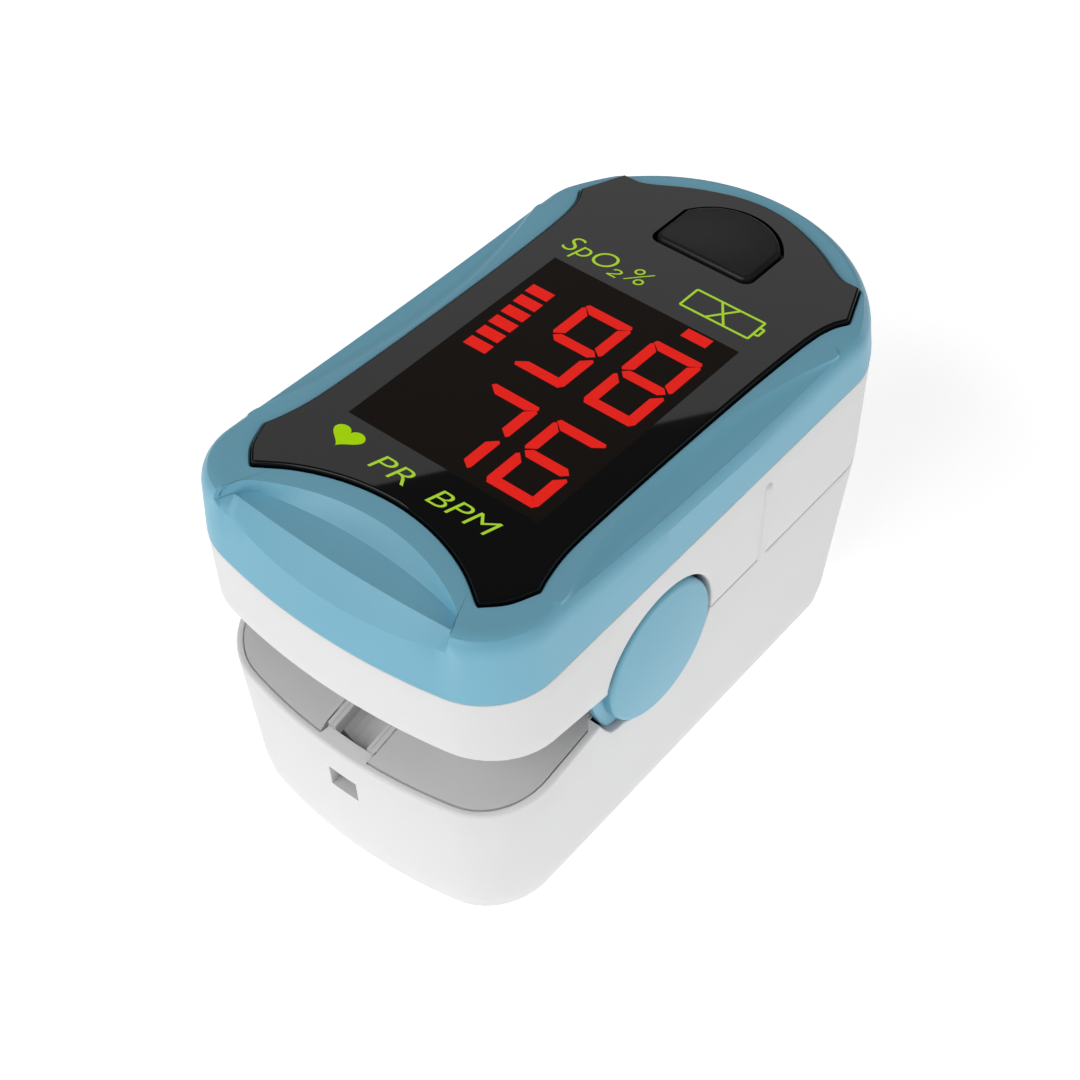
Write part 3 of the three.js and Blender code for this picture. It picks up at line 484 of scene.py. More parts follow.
SLOT_MATERIAL = {
    "blue_shell": moulded("blue_plastic", (0.168, 0.43, 0.565), 0.42),
    "white_shell": moulded("white_plastic", (0.705, 0.705, 0.705), 0.45, vary=0.012),
    "grey_tray": moulded("tray_grey_plastic", (0.51, 0.51, 0.51), 0.55, grain=0.02),
    "black_panel": moulded("panel_black", (0.0015, 0.0015, 0.0016), 0.02, grain=0.0, vary=0.0,
                           specular=0.28, uneven=0.008),
    "button": moulded("button_black", (0.01, 0.01, 0.0105), 0.36, grain=0.015, vary=0.05, specular=0.28),
    "finger_pad": moulded("pad_silicone", (0.13, 0.145, 0.155), 0.62, grain=0.02, grain_size=0.4, vary=0.05),
    "circuit_board": moulded("board_green", (0.02, 0.11, 0.045), 0.35, grain=0.02, vary=0.1),
    "chip": moulded("chip_black", (0.02, 0.02, 0.021), 0.55, grain=0.02, vary=0.05),
    "display_module": moulded("display_black", (0.015, 0.014, 0.014), 0.5, vary=0.05),
    "flex_strip": moulded("film_amber", (0.35, 0.15, 0.03), 0.35, grain=0.0, vary=0.08),
    "clear_resin": moulded("clear_resin", (0.7, 0.7, 0.72), 0.15, grain=0.0, vary=0.02),
    "steel": moulded("bright_steel", (0.55, 0.55, 0.55), 0.28, grain=0.01, grain_size=0.12, vary=0.05,
                     metallic=1.0),
    "cell_sleeve": banded_sleeve("cell_sleeve"),
}
WINDOW_BROWN = moulded("window_smoke", (0.0105, 0.0068, 0.0052), 0.3, grain=0.0, vary=0.05, specular=0.04)
LED_RED = glowing("led_red", (0.72, 0.014, 0.009), 0.8)
PRINT_GREEN = glowing("print_green", (0.36, 0.6, 0.03), 0.8)
HEART_GREEN = glowing("heart_green", (0.3, 0.54, 0.0), 0.9)


def dress_frame():
    """Every carried-over CAD node gets the material of its slot."""
    for part in frame["record"]["subparts"]:
        node = frame["nodes"][part["node"]]
        node.data.materials.clear()
        node.data.materials.append(SLOT_MATERIAL[part["material_slot"]])


# -------- white shells
def edge_normals(chain, inward):
    """Unit normals of a closed chain of (s, z) points, turned to the side that inward names."""
    found = []
    for i, (s, z) in enumerate(chain):
        before, after = chain[i - 1], chain[(i + 1) % len(chain)]
        ds = (after[0] - before[0]) if abs(after[0] - before[0]) < HALF_TRAVEL else 0.001
        dz = after[1] - before[1]
        normal = Vector((-dz, ds))
        if normal.length < 1e-9:
            normal = Vector((0, 1))
        normal.normalize()
        if normal.y * inward < 0 or (abs(normal.y) < 1e-6 and normal.x * inward < 0):
            normal = -normal
        found.append(normal)
    return found


def spaced(start, end, step):
    count = max(1, math.ceil(abs(end - start) / step))
    return [start + (end - start) * i / count for i in range(count)]


def both_sides(right):
    """Right-side stations, as (s, ...) from near to far, with their mirror images in loop order."""
    left = [(-station[0], *station[1:]) for station in reversed(right)]
    return right + left


def cap_hole(start, end, steps):
    """(s, z) around the part of the hinge cap's opening between two angles."""
    points = arc((HINGE_Y, CAP_Z), CAP_HOLE_RADIUS, start, end, steps)
    return [(travel_at_y(y), z) for y, z in points]


def mouth_corner(levels, edge_z, up):
    """(s, z) around the finger opening's rounded corner, from its side to its flat edge."""
    corner_z = edge_z - up * CHANNEL_CORNER
    widen = HALF_WIDTH / wall_point(travel_at_y(0), corner_z, 0, levels).x
    points = arc((CHANNEL_HALF_WIDTH - CHANNEL_CORNER, 0), CHANNEL_CORNER, 0, math.pi / 2, 8)
    return [(travel_at_far_x(x * widen), corner_z + up * rise) for x, rise in points]


def level_run(start, end, z):
    return [(s, z) for s in spaced(start, end, STATION_STEP)]


def finger_end(start, levels, z, edge_z, up):
    """(s, z) from start along the parting line, around the finger opening's corner, to the far centre."""
    mouth = mouth_corner(levels, edge_z, up)
    found = level_run(start, mouth[0][0], z) + [(mouth[0][0] - 0.01, z)] + mouth
    return found + level_run(mouth[-1][0] + 0.5, HALF_TRAVEL, edge_z)


def upper_stations():
    """(s, low z) along the right side of the upper shell, near centre to far centre."""
    near = [0.0] + spaced(0.6, travel_at_y(WEDGE_VERTEX_Y) - 0.05, STATION_STEP)
    found = [(s, upper_edge(plan(s)[1])) for s in near]
    found += cap_hole(math.pi - math.asin((UPPER_EDGE_Z - CAP_Z) / CAP_HOLE_RADIUS), 0, 40)
    found.append((found[-1][0] + 0.01, UPPER_LOW_Z))
    return found + finger_end(found[-1][0] + 0.3, UPPER_LEVELS, UPPER_LOW_Z, CHANNEL_ROOF_Z, 1)


def in_tab_pocket(y):
    """1 where the upper wall is thinned for the hinge cap's tab, which swings past inside it."""
    near, far = TAB_POCKET
    return smoothstep((y - near) / 0.8) * smoothstep((far - y) / 0.8)


def upper_shell():
    """The white wall from the parting line to the blue border, open below and above."""
    stations = both_sides(upper_stations())
    loops = []
    for (s, low), normal in zip(stations, edge_normals(stations, 1)):
        section = []
        for inset, drop in reversed(rounding(SHELL_EDGE, 3)):
            section.append((s + normal.x * drop, low + normal.y * drop, inset))
        start_z = low + normal.y * SHELL_EDGE
        for part in (0.25, 0.5, 0.75):
            z = start_z + (UPPER_HIGH_Z - SHELL_EDGE - start_z) * part
            section.append((s + normal.x * SHELL_EDGE * (1 - part), z, 0))
        section += [(s, UPPER_HIGH_Z - drop, inset) for inset, drop in rounding(SHELL_EDGE / 2, 3)]
        thickness = WALL - TAB_ROOM * in_tab_pocket(plan(s)[1])
        section += [(s, UPPER_HIGH_Z, thickness), (s, low + 0.1, thickness), (s, low, thickness - 0.1)]
        loops.append([wall_point(*at, UPPER_LEVELS) for at in section])
    dress(skin("upper_wall", loops), "upper_half", "white_shell", "upper_shell")


# (y, z) down the notch in the lower wall that the hinge cap's tab fills
TAB_RECESS = [(-16.0, 16.69), (-15.75, 16.2), (-15.3, 15.4), (-14.8, 14.65), (-14.35, 14.05), (-13.6, 13.78),
              (-12.9, 13.68)]


def lower_stations():
    """(s, high z, open below) along the right side of the lower shell, near centre to far centre."""
    near = [0.0] + [travel_at_near_x(x) for x in (0.8, 1.5, 2.0, RIM_STEP_X - 0.01, RIM_STEP_X + 0.01)]
    near += spaced(near[-1] + 0.5, travel_at_y(TAB_RECESS[0][0]) - 0.05, STATION_STEP)
    closed = [(s, lower_rim(plan(s)[1])) for s in near]
    closed += [(travel_at_y(y), z) for y, z in TAB_RECESS]
    recess_end = TAB_RECESS[-1][0] + 0.5 - HINGE_Y
    closed += cap_hole(-math.acos(recess_end / CAP_HOLE_RADIUS),
                       math.asin((PARTING_Z - CAP_Z) / CAP_HOLE_RADIUS), 30)
    door_s = travel_at_far_x(DOORWAY_HALF_WIDTH * HALF_WIDTH / FOOT_HALF_WIDTH)
    closed += level_run(closed[-1][0] + 0.3, door_s, LOWER_HIGH_Z) + [(door_s - 0.01, LOWER_HIGH_Z)]
    over_door = [(door_s, LOWER_HIGH_Z)]
    over_door += finger_end(door_s + 0.4, LOWER_LEVELS, LOWER_HIGH_Z, CHANNEL_FLOOR_Z, -1)
    return [(s, z, False) for s, z in closed] + [(s, z, True) for s, z in over_door]


def foot_room(s):
    """Width of the floor between the wall and the doorway at travel s."""
    wall = wall_point(s, FOOT_HEIGHT, 0, LOWER_LEVELS)
    return math.hypot(max(abs(wall.x) - DOORWAY_HALF_WIDTH, 0), max(DOORWAY_NEAR_Y - wall.y, 0))


def doorway_point(s, out, z):
    """The doorway's edge nearest to the wall at travel s, moved outward by out."""
    wall = wall_point(s, FOOT_HEIGHT, 0, LOWER_LEVELS)
    out = min(out, max(0.0, foot_room(s) - 1.3))
    x = min(max(wall.x, -DOORWAY_HALF_WIDTH - out), DOORWAY_HALF_WIDTH + out)
    return Vector((x, max(wall.y, DOORWAY_NEAR_Y - out), z))


def lip_width(y):
    return LIP + (WALL - LIP) * smoothstep((y - LIP_END_Y) / 0.3)


def lower_foot(s, open_below):
    """The tub's section from its floor to the wall; it is cut short over the battery door."""
    if open_below:
        insets = [WALL] * 5 + [0.8, 0.6, 0.4, 0.1]
        foot = [wall_point(s, DOORWAY_TOP_Z, inset, LOWER_LEVELS) for inset in insets]
        return foot + [wall_point(s, DOORWAY_TOP_Z + 0.1, 0, LOWER_LEVELS)]
    groove = ((0, FLOOR_TOP), (0, DOORWAY_TOP_Z), (0.9, DOORWAY_TOP_Z), (0.9, 0.55), (0, 0.55),
              (0, 0.12), (0.12, 0))
    reach = min(1.0, max(0.02, foot_room(s) - 0.1))
    foot = [doorway_point(s, out, z) for out, z in groove]
    for inset, z in reversed(rounding(1, 3)[1:]):
        foot.append(wall_point(s, FOOT_HEIGHT * z, reach * inset, LOWER_LEVELS))
    return foot


def lower_shell():
    """The white tub: wall, rounded foot, floor around the doorway, rim lip and cord slot."""
    stations = both_sides(lower_stations())
    normals = edge_normals([(s, z) for s, z, _open in stations], -1)
    _half, slot_low, slot_high = CORD_SLOT
    loops = []
    for (s, high, open_below), normal in zip(stations, normals):
        x, y, _nx, _ny = plan(s)
        rim_tab = y < -20 and abs(x) < RIM_STEP_X
        thickness = WALL + (RIM_TAB_EXTRA if rim_tab else 0)
        deck_side = y < TAB_RECESS[0][0] - 0.05
        top_width = lip_width(y) if deck_side and not rim_tab else thickness
        section = [(s, z, 0) for z in (2.2, 4.0, slot_low, slot_high)]
        for inset, drop in rounding(LIP_EDGE if deck_side else SHELL_EDGE, 4):
            section.append((s + normal.x * drop, high + normal.y * drop, inset))
        section += [(s, high, top_width - 0.06), (s, high - 0.06, top_width), (s, high - 0.6, top_width),
                    (s, slot_high, thickness), (s, slot_low, thickness), (s, FLOOR_TOP, WALL)]
        loops.append(lower_foot(s, open_below) + [wall_point(*at, LOWER_LEVELS) for at in section])
    obj = skin("lower_wall", loops)
    open_cord_slot(obj)
    dress(obj, "lower_half", "white_shell", "lower_shell")


def open_cord_slot(obj):
    """Removes the wall between the slot's four sides and closes the cut through its thickness."""
    half, low, high = CORD_SLOT
    work = bmesh.new()
    work.from_mesh(obj.data)
    doomed = []
    for face in work.faces:
        at = face.calc_center_median() / MM
        if abs(at.x) < half and at.y < -24 and low < at.z < high:
            doomed.append(face)
    bmesh.ops.delete(work, geom=doomed, context="FACES")
    bmesh.ops.bridge_loops(work, edges=[edge for edge in work.edges if edge.is_boundary])
    mark_corners(work)
    work.to_mesh(obj.data)
    work.free()


def side_ribs():
    """The short upright bar on each side of the upper shell."""
    y, low, high, half, sunk, proud = 4.7, PARTING_Z - 0.02, 26.6, 0.55, 0.3, 0.3
    for side, name in SIDES:
        loops = []
        for z in (low, low + 2, low + 4, low + 6, high - half, high - 0.35, high - 0.12, high):
            shrink = 1.0 if z <= high - half else math.sqrt(max(0.02, 1 - ((z - high + half) / half) ** 2))
            inner = wall_point(travel_at_y(y), z, sunk, UPPER_LEVELS).x
            loop = []
            for c, rise in arc((0, 0), 1, 0, math.pi, 8):
                loop.append((side * (inner + (sunk + proud * shrink) * rise), y - half * shrink * c, z))
            loops.append(loop)
        rib = skin(f"side_rib_{name}", loops, around=False, capped=True)
        dress(rib, "upper_half", "white_shell")


def upper_floor():
    """The sheet that closes the upper half on the squeeze side, seen when the jaws open."""
    near, far, count = -28.2, -14.2, 11
    loops = []
    for i in range(count + 1):
        y = near + i * (far - near) / count
        half = 6.0
        if y > -28:
            half = wall_point(travel_at_y(y * HALF_LENGTH / 28.95), PARTING_Z, 0.5, UPPER_LEVELS).x
        half = min(half, 15.1 - (in_tab_pocket(y) if y > -17.5 else 0))
        low = upper_edge(min(y, WEDGE_VERTEX_Y))
        loops.append([(x, y, low + rise) for x, rise in rectangle(-half, 0.06, half, 1.2)])
    floor = skin("upper_floor", loops, around=False, capped=True)
    bore_screw_seats(floor)
    dress(floor, "upper_half", "white_shell")


def upper_channel():
    """The finger channel's roof and flanges, inside the white wall."""
    low, high = UPPER_LOW_Z + 0.04, UPPER_LOW_Z + 1.34
    count = 23
    loops = []
    for i in range(count + 1):
        y = CHANNEL_START_Y - 0.9 + i * 29.9 / count
        half = max(wall_point(travel_at_y(y), PARTING_Z, 0.5, UPPER_LEVELS).x, 10.2)
        outer = arch(CHANNEL_HALF_WIDTH + 0.9, CHANNEL_ROOF_Z + 0.9, CHANNEL_CORNER + 0.9, high)
        inner = arch(CHANNEL_HALF_WIDTH, CHANNEL_ROOF_Z, CHANNEL_CORNER, low)
        section = [(half, low), (half, high), *outer, (-half, high), (-half, low), *reversed(inner)]
        loops.append([(x, y, z) for x, z in section])
    dress(skin("upper_channel", loops, around=False, capped=True), "upper_half", "white_shell")


def arch(half, crown, radius, open_z, steps=6):
    """(x, z) points from the right foot over the crown to the left foot. The crown may be below."""
    up = 1 if crown > open_z else -1
    points = [(half, open_z)]
    points += [(half - inset, crown - up * drop) for inset, drop in rounding(radius, steps)]
    return points + [(-x, z) for x, z in reversed(points)]


def bore_screw_seats(floor):
    """Opens the underside over the two near cover screws, so their heads sit in wells."""
    profile = [(0, -1), (1.7, -1), (1.7, 2.4), (0, 2.4)]
    for side, _name in SIDES:
        well = turned("well", profile, (side * 10.4, -22.6, 20.6), UP, 28)
        cut = floor.modifiers.new("well", "BOOLEAN")
        cut.operation = "DIFFERENCE"
        cut.solver = "EXACT"
        cut.object = well
        shape = evaluated_mesh(floor)
        floor.modifiers.clear()
        floor.data = shape
        bpy.data.objects.remove(well)
    finish_edges(floor)


# -------- blue cover
# The panel's right half from the near centre to the far centre: one list for each smooth curve
# between two corners. Each point is (x, y) and the place on the wall that it faces, which is the
# outline's x at the near or far end, or its y along the side.
PANEL_RUNS = [
    [(0, -19.75, "near", 0), (3.0, -20.02, "near", 3.3), (5.8, -20.75, "near", 6.3),
     (8.4, -21.9, "near", 9.2), (10.95, -23.6, "side", -26.9)],
    [(10.95, -23.6, "side", -26.9), (12.35, -22.05, "side", -23.2), (13.3, -19.85, "side", -20.6)],
    [(13.3, -19.85, "side", -20.6), (12.8, -18.2, "side", -18.6), (12.3, -15.0, "side", -15.0),
     (12.1, -8.0, "side", -8.0), (12.05, 0, "side", 0), (12.1, 7.5, "side", 7.5),
     (12.35, 14.2, "side", 14.0), (12.8, 16.9, "side", 16.5), (13.55, 18.4, "side", 18.0)],
    [(13.55, 18.4, "side", 18.0), (11.95, 22.4, "side", 22.4)],
    [(11.95, 22.4, "side", 22.4), (10.4, 22.4, "side", 23.6)],
    [(10.4, 22.4, "side", 23.6), (9.2, 22.95, "side", 24.4), (7.4, 24.1, "side", 26.0),
     (5.2, 25.2, "far", 6.0), (2.5, 26.15, "far", 3.0), (0, 26.45, "far", 0)],
]


def match_travel(kind, value):
    if kind == "near":
        return travel_at_near_x(value) if value else 0.0
    if kind == "far":
        return travel_at_far_x(value) if value else HALF_TRAVEL
    return travel_at_y(value)


def spline(before, start, end, after, part):
    """A point between start and end on the smooth curve through all four."""
    m0, m1 = (end - before) / 2, (after - start) / 2
    t2, t3 = part * part, part ** 3
    return (start * (2 * t3 - 3 * t2 + 1) + m0 * (t3 - 2 * t2 + part)
            + end * (3 * t2 - 2 * t3) + m1 * (t3 - t2))


def mirror_x(p):
    return Vector((-p.x, p.y))


def cover_stations():
    """(s, panel point) all along the right side, with every panel corner on a station."""
    found = []
    for run in PANEL_RUNS:
        points = [Vector((x, y)) for x, y, _kind, _place in run]
        travels = [match_travel(kind, place) for _x, _y, kind, place in run]
        before = mirror_x(points[1]) if run is PANEL_RUNS[0] else points[0] * 2 - points[1]
        after = mirror_x(points[-2]) if run is PANEL_RUNS[-1] else points[-1] * 2 - points[-2]
        curve = [before, *points, after]
        for k in range(len(points) - 1):
            span = travels[k + 1] - travels[k]
            step = NOSE_STEP if travels[k] < NOSE_START < travels[k + 1] else COVER_STEP
            count = max(2, math.ceil(max(span, (points[k + 1] - points[k]).length) / step))
            for i in range(count):
                found.append((travels[k] + span * i / count, spline(*curve[k:k + 4], i / count)))
    found.append((HALF_TRAVEL, points[-1]))
    return found


WALL_STEPS = 3               # rows of points up the cover's outer wall


def along(a, b, count, bulge=0.0, up=UP):
    """Points after a up to b; bulge lifts the middle along up, as a parabola."""
    points = []
    for i in range(1, count + 1):
        part = i / count
        points.append(a + (b - a) * part + up * (4 * bulge * part * (1 - part)))
    return points


def on_top(xy, drop=0.0):
    return Vector((xy[0], xy[1], top_z(xy[1]) - drop))


def shoulder_profile(s, panel):
    """Border to recess edge with the rounded shoulder and, on the sides, the long hollow."""
    x, y, nx, ny = plan(s)
    out = Vector((nx, ny, 0))
    along_side = (y - SCALLOP["centre_y"]) / SCALLOP["half_length"]
    lean = max(0.0, 1 - along_side ** 2)
    crease_drop = 0.2 + 0.42 * lean

    def inset(distance, drop):
        return on_top(Vector((x, y, 0)) - out * distance, drop)

    base = wall_point(s, COVER_LOW_Z, 0, UPPER_LEVELS)
    low = inset(0.22 - 0.07 * lean, 1.85 - 0.45 * lean)
    crease = inset(0.85 - 0.2 * lean, crease_drop)
    recess = on_top(panel)
    points = [base, *along(base, low, WALL_STEPS)]
    points += along(low, crease, 5, 0.03 + 0.19 * (1 - lean), (out + UP).normalized())
    if lean > 0 and abs(x) > 14:
        inner_x = min(SCALLOP["inner_x"] + SCALLOP["spread"] * along_side ** 2, abs(crease.x) - 0.05)
        inner = on_top((math.copysign(inner_x, x), crease.y))
        bulge = -0.125 * (abs(crease.x) - inner_x)
    else:
        inner = on_top(crease.lerp(recess, 0.35))
        bulge = 0.35 * crease_drop
    points += along(crease, inner, 8, bulge)
    return points + [inner.lerp(recess, 0.5)]


def scoop_profile(s, panel):
    """Border to recess edge through the stepped crescent at the near end."""
    x, y, nx, ny = plan(s)
    part = min(abs(x) / SCOOP_HALF, 1.0)
    nose = min(max((abs(x) - NOSE_START) / (SCOOP_HALF - NOSE_START), 0.0), 1.0)
    lift = (x / 10.4) ** 2
    low = Vector((x, y, 0)) - Vector((nx, ny, 0)) * (0.95 + 0.2 * lift)
    low.z = 31.35 + 0.75 * lift
    ridge_x = x * 0.985
    ridge_y = RIDGE_Y - (RIDGE_RADIUS - math.sqrt(RIDGE_RADIUS ** 2 - ridge_x ** 2))
    ridge_y += (y + 0.9 - ridge_y) * (1 - math.sqrt(1 - nose * nose))
    step_y = min(-26.25 + 0.5 * part ** 2, ridge_y - 0.15 - 0.4 * nose)
    step = Vector((x, step_y, top_z(-26.2) - 1.12))
    heel_y = min(-23.45 - 1.5 * part ** 2, ridge_y - 0.12 - 0.3 * nose)
    heel = Vector((x, max(step_y + 0.1, heel_y), top_z(-23.5) - 1.1))
    base = wall_point(s, COVER_LOW_Z, 0, UPPER_LEVELS)
    ridge = on_top((ridge_x, ridge_y))
    points = [base, *along(base, low, WALL_STEPS)]
    points += along(low, step, 5, 0.05) + along(step, heel, 4, -0.04) + along(heel, ridge, 4, -0.05)
    return points + [ridge.lerp(on_top(panel), 0.5)]


def top_cover():
    """The blue cover: wall, shoulder, thumb scoop, side hollows and the panel's recess."""
    recess_gap, lip_width, ledge_width, floor_drop, sheet = 0.13, 0.1, 1.3, 1.3, 1.0
    right = cover_stations()
    stations = right + [(-s, mirror_x(p)) for s, p in reversed(right[1:-1])]
    loops = []
    for index, (s, panel) in enumerate(stations):
        run = (stations[(index + 1) % len(stations)][1] - stations[index - 1][1]).normalized()
        out = Vector((run.y, -run.x))
        edge = panel + out * recess_gap
        lip = panel + out * (recess_gap + lip_width)
        ledge = panel - out * ledge_width
        x, y, _nx, _ny = plan(s)
        weight = wall_weight = 0.0
        if y < -20:
            wall_weight = 1 - smoothstep((abs(x) - SCOOP_HALF + 1.4) / 2.8)
            weight = 1 - smoothstep((abs(x) - SCOOP_HALF + 0.1) / 0.3)
        plain = shoulder_profile(s, lip)
        scoop = scoop_profile(s, lip) if wall_weight > 0 else plain
        loop = []
        for i, (a, b) in enumerate(zip(plain, scoop)):
            upward = min(max((i - WALL_STEPS) / 5, 0.0), 1.0)
            loop.append(a.lerp(b, wall_weight + (weight - wall_weight) * upward))
        loop += [on_top(lip), on_top(edge, 0.1), on_top(edge, floor_drop)]
        loop += [on_top(ledge, floor_drop), on_top(ledge, floor_drop + sheet)]
        loop.append(on_top(wall_point(s, 31.0, WALL + 0.9, UPPER_LEVELS), floor_drop + sheet))
        loop += [wall_point(s, COVER_LOW_Z + rise, WALL, UPPER_LEVELS) for rise in (0.4, 0)]
        loops.append(loop)
    cover = finish_edges(skin("blue_cover", loops), math.radians(19))
    dress(cover, "upper_half", "blue_shell", "top_cover")


# -------- panel, display and button
def mirrored_outline(half):
    return [tuple(p) for p in half] + [(-x, y) for x, y in reversed(half[1:-1])]


STRAIGHT = 0.97              # cosine of the turn above which an outline has no corner


def panel_rim():
    """The panel's outline, thinned to the points that its curves need."""
    half = [point for _s, point in cover_stations()]
    kept = [half[0]]
    for before, point, after in zip(half, half[1:], half[2:]):
        corner = (point - before).normalized().dot((after - point).normalized()) < STRAIGHT
        if corner or (point - kept[-1]).length > 0.8:
            kept.append(point)
    kept.append(half[-1])
    return mirrored_outline(kept)


def softened(outline, cut=0.35):
    """Replaces each corner by three points, so the outline has no needle-sharp corner."""
    found = []
    for i, p in enumerate(outline):
        p = Vector(p)
        back = (Vector(outline[i - 1]) - p).normalized()
        onward = (Vector(outline[(i + 1) % len(outline)]) - p).normalized()
        if -back.dot(onward) > STRAIGHT:
            found.append(tuple(p))
        else:
            found += [tuple(p + back * cut), tuple(p + (back + onward) * cut * 0.1), tuple(p + onward * cut)]
    return found


def button_outline(grow=0.0):
    """A straight near edge with rounded corners, and one wide arc around the far end."""
    corner = 0.9
    half = BUTTON["half_width"] + grow
    near, far = BUTTON["near_y"] - grow, BUTTON["far_y"] + grow
    rise = far - BUTTON["side_y"]
    radius = (half ** 2 + rise ** 2) / (2 * rise)
    start = math.asin((radius - rise) / radius)
    right = arc((half - corner, near + corner), corner, -math.pi / 2, 0, 4)
    far_arc = arc((0, far - radius), radius, start, math.pi - start, 24)
    return right + far_arc + [(-x, y) for x, y in reversed(right)]


def display_panel():
    """The black panel: rounded rim, flat top with openings for the window and the button."""
    low = PANEL_TOP_Z - PANEL_THICKNESS
    rim = softened(panel_rim())
    obj = prism("panel_black_sheet", rim, low, PANEL_TOP_Z, edge=0.22, sloping=True, steps=4)
    work = bmesh.new()
    work.from_mesh(obj.data)
    sheets = sorted((f for f in work.faces if len(f.verts) > 20), key=lambda f: f.calc_center_median().z)
    rims = [(list(sheets[-1].edges), PANEL_TOP_Z), (list(sheets[0].edges), low)]
    bmesh.ops.delete(work, geom=[sheets[-1], sheets[0]], context="FACES_ONLY")
    openings = (button_outline(GAP), rectangle(*WINDOW))
    for edges, z in rims:
        for outline in openings:
            edges += add_loop(work, outline, z)
        filled = bmesh.ops.triangle_fill(work, edges=edges, use_beauty=True)
        for face in [g for g in filled["geom"] if isinstance(g, bmesh.types.BMFace)]:
            face.smooth = False
    for outline in openings:
        join_loops(work, outline)
    bmesh.ops.recalc_face_normals(work, faces=work.faces)
    work.to_mesh(obj.data)
    work.free()
    dress(obj, "upper_half", "black_panel", "display_panel")


def add_loop(work, outline, z):
    verts = [work.verts.new(Vector((x, y, z - TOP_SLOPE * y)) * MM) for x, y in outline]
    return [work.edges.new((verts[i], verts[(i + 1) % len(verts)])) for i in range(len(verts))]


def join_loops(work, outline):
    """Side walls between the upper and lower copies of an opening."""
    def near(x, y, z):
        goal = Vector((x, y, z - TOP_SLOPE * y)) * MM
        return min(work.verts, key=lambda v: (v.co - goal).length_squared)

    upper = [near(x, y, PANEL_TOP_Z) for x, y in outline]
    lower = [near(x, y, PANEL_TOP_Z - PANEL_THICKNESS) for x, y in outline]
    for i in range(len(outline)):
        after = (i + 1) % len(outline)
        work.faces.new((upper[i], upper[after], lower[after], lower[i])).smooth = False


def display_window():
    """The smoked display window, set in the panel."""
    outline = rectangle(*WINDOW)
    window = prism("display_window", outline, PANEL_TOP_Z - PANEL_THICKNESS, PANEL_TOP_Z - 0.01, sloping=True)
    dress(window, "upper_half", "black_panel", material=WINDOW_BROWN)


def flat_marks(name, shapes, material):
    """Thin raised marks on the panel; each shape is a plan outline."""
    points, faces = [], []
    for shape in shapes:
        first, count = len(points), len(shape)
        for rise in (MARK_SUNK, MARK_PROUD):
            points += [(x, y, panel_z(y) + rise) for x, y in shape]
        low = [first + k for k in range(count)]
        high = [k + count for k in low]
        faces += [tuple(low), tuple(high)]
        faces += [(low[k - 1], low[k], high[k], high[k - 1]) for k in range(count)]
    obj = finish_edges(add_mesh(name, points, faces))
    dress(obj, "upper_half", "display_module", material=material)


MARK_SUNK, MARK_PROUD = -0.03, 0.02    # a mark's underside and top, from the panel's surface
SEGMENTS = {"7": "ABC", "9": "ABCDFG", "8": "ABCDEFG", "6": "ACDEFG"}


def digit_shapes(symbol, left, near, width, height):
    """Seven-segment outlines: A top, B and C right, D bottom, E and F left, G middle."""
    thick, gap = 0.95, 0.12
    right, far, middle = left + width, near + height, near + height / 2
    half = thick / 2

    def level(y, rise):
        """A level bar; rise is 1 at the top, -1 at the bottom and 0 in the middle."""
        if rise:
            inner = y - rise * thick
            return [(left + 0.3, y), (right - 0.3, y), (right - gap, y - rise * 0.3),
                    (right - thick, inner), (left + thick, inner), (left + gap, y - rise * 0.3)]
        return [(left + gap + 0.2, y), (left + thick * 0.85, y + half), (right - thick * 0.85, y + half),
                (right - gap - 0.2, y), (right - thick * 0.85, y - half), (left + thick * 0.85, y - half)]

    def upright(x, side, y0, y1):
        """An upright bar between two joints; side is 1 on the right."""
        inner = x - side * thick
        low, high = min(y0, y1), max(y0, y1)
        return [(x, low + 0.42), (x - side * 0.18, low + 0.2), (inner, low + 0.75), (inner, high - 1.15),
                (x - side * 0.22, high - 0.42), (x, high - 0.62)]

    bars = {
        "A": level(far, 1), "D": level(near, -1), "G": level(middle, 0),
        "B": upright(right, 1, middle, far), "C": upright(right, 1, near, middle),
        "F": upright(left, -1, middle, far), "E": upright(left, -1, near, middle),
    }
    return [bars[key] for key in SEGMENTS[symbol]]


def lit_display():
    """Two rows of digits, the pulse bars and the small dash."""
    shapes = []
    for symbol, left, near in (("9", -3.5, -2.75), ("8", 3.3, -2.75), ("7", -3.1, -14.1), ("6", 3.3, -14.1)):
        shapes += digit_shapes(symbol, left, near, 4.85, 9.35 if near > -10 else 8.7)
    for i in range(6):
        y = -3.3 + i * 1.6
        shift = -0.075 * i
        shapes.append(rectangle(-7.95 + shift, y, -5.75 + shift, y + 1.1))
    shapes.append(rectangle(4.5, 8.25, 6.9, 9.35))
    flat_marks("lit_segments", shapes, LED_RED)


def text_mark(name, words, left, base, cap_height, width, material):
    """Generic lettering, fitted to a width, laid on the panel's slope."""
    curve = bpy.data.curves.new(name, "FONT")
    curve.body = words
    curve.shear = 0.22
    curve.offset = -0.012
    curve.extrude = 0.01
    helper = add_object(name, curve)
    mesh = evaluated_mesh(helper)
    bpy.data.objects.remove(helper)
    low = Vector([min(v.co[k] for v in mesh.vertices) for k in range(3)])
    high = Vector([max(v.co[k] for v in mesh.vertices) for k in range(3)])
    grow_x = width / (high.x - low.x)
    grow_y = cap_height / 0.73
    for vertex in mesh.vertices:
        x = left + (vertex.co.x - low.x) * grow_x
        y = base + vertex.co.y * grow_y
        rise = MARK_PROUD if vertex.co.z > 0 else MARK_SUNK
        vertex.co = Vector((x, y, panel_z(y) + rise)) * MM
    obj = finish_edges(add_object(name, mesh), merge=0.001)
    dress(obj, "upper_half", "display_module", material=material)


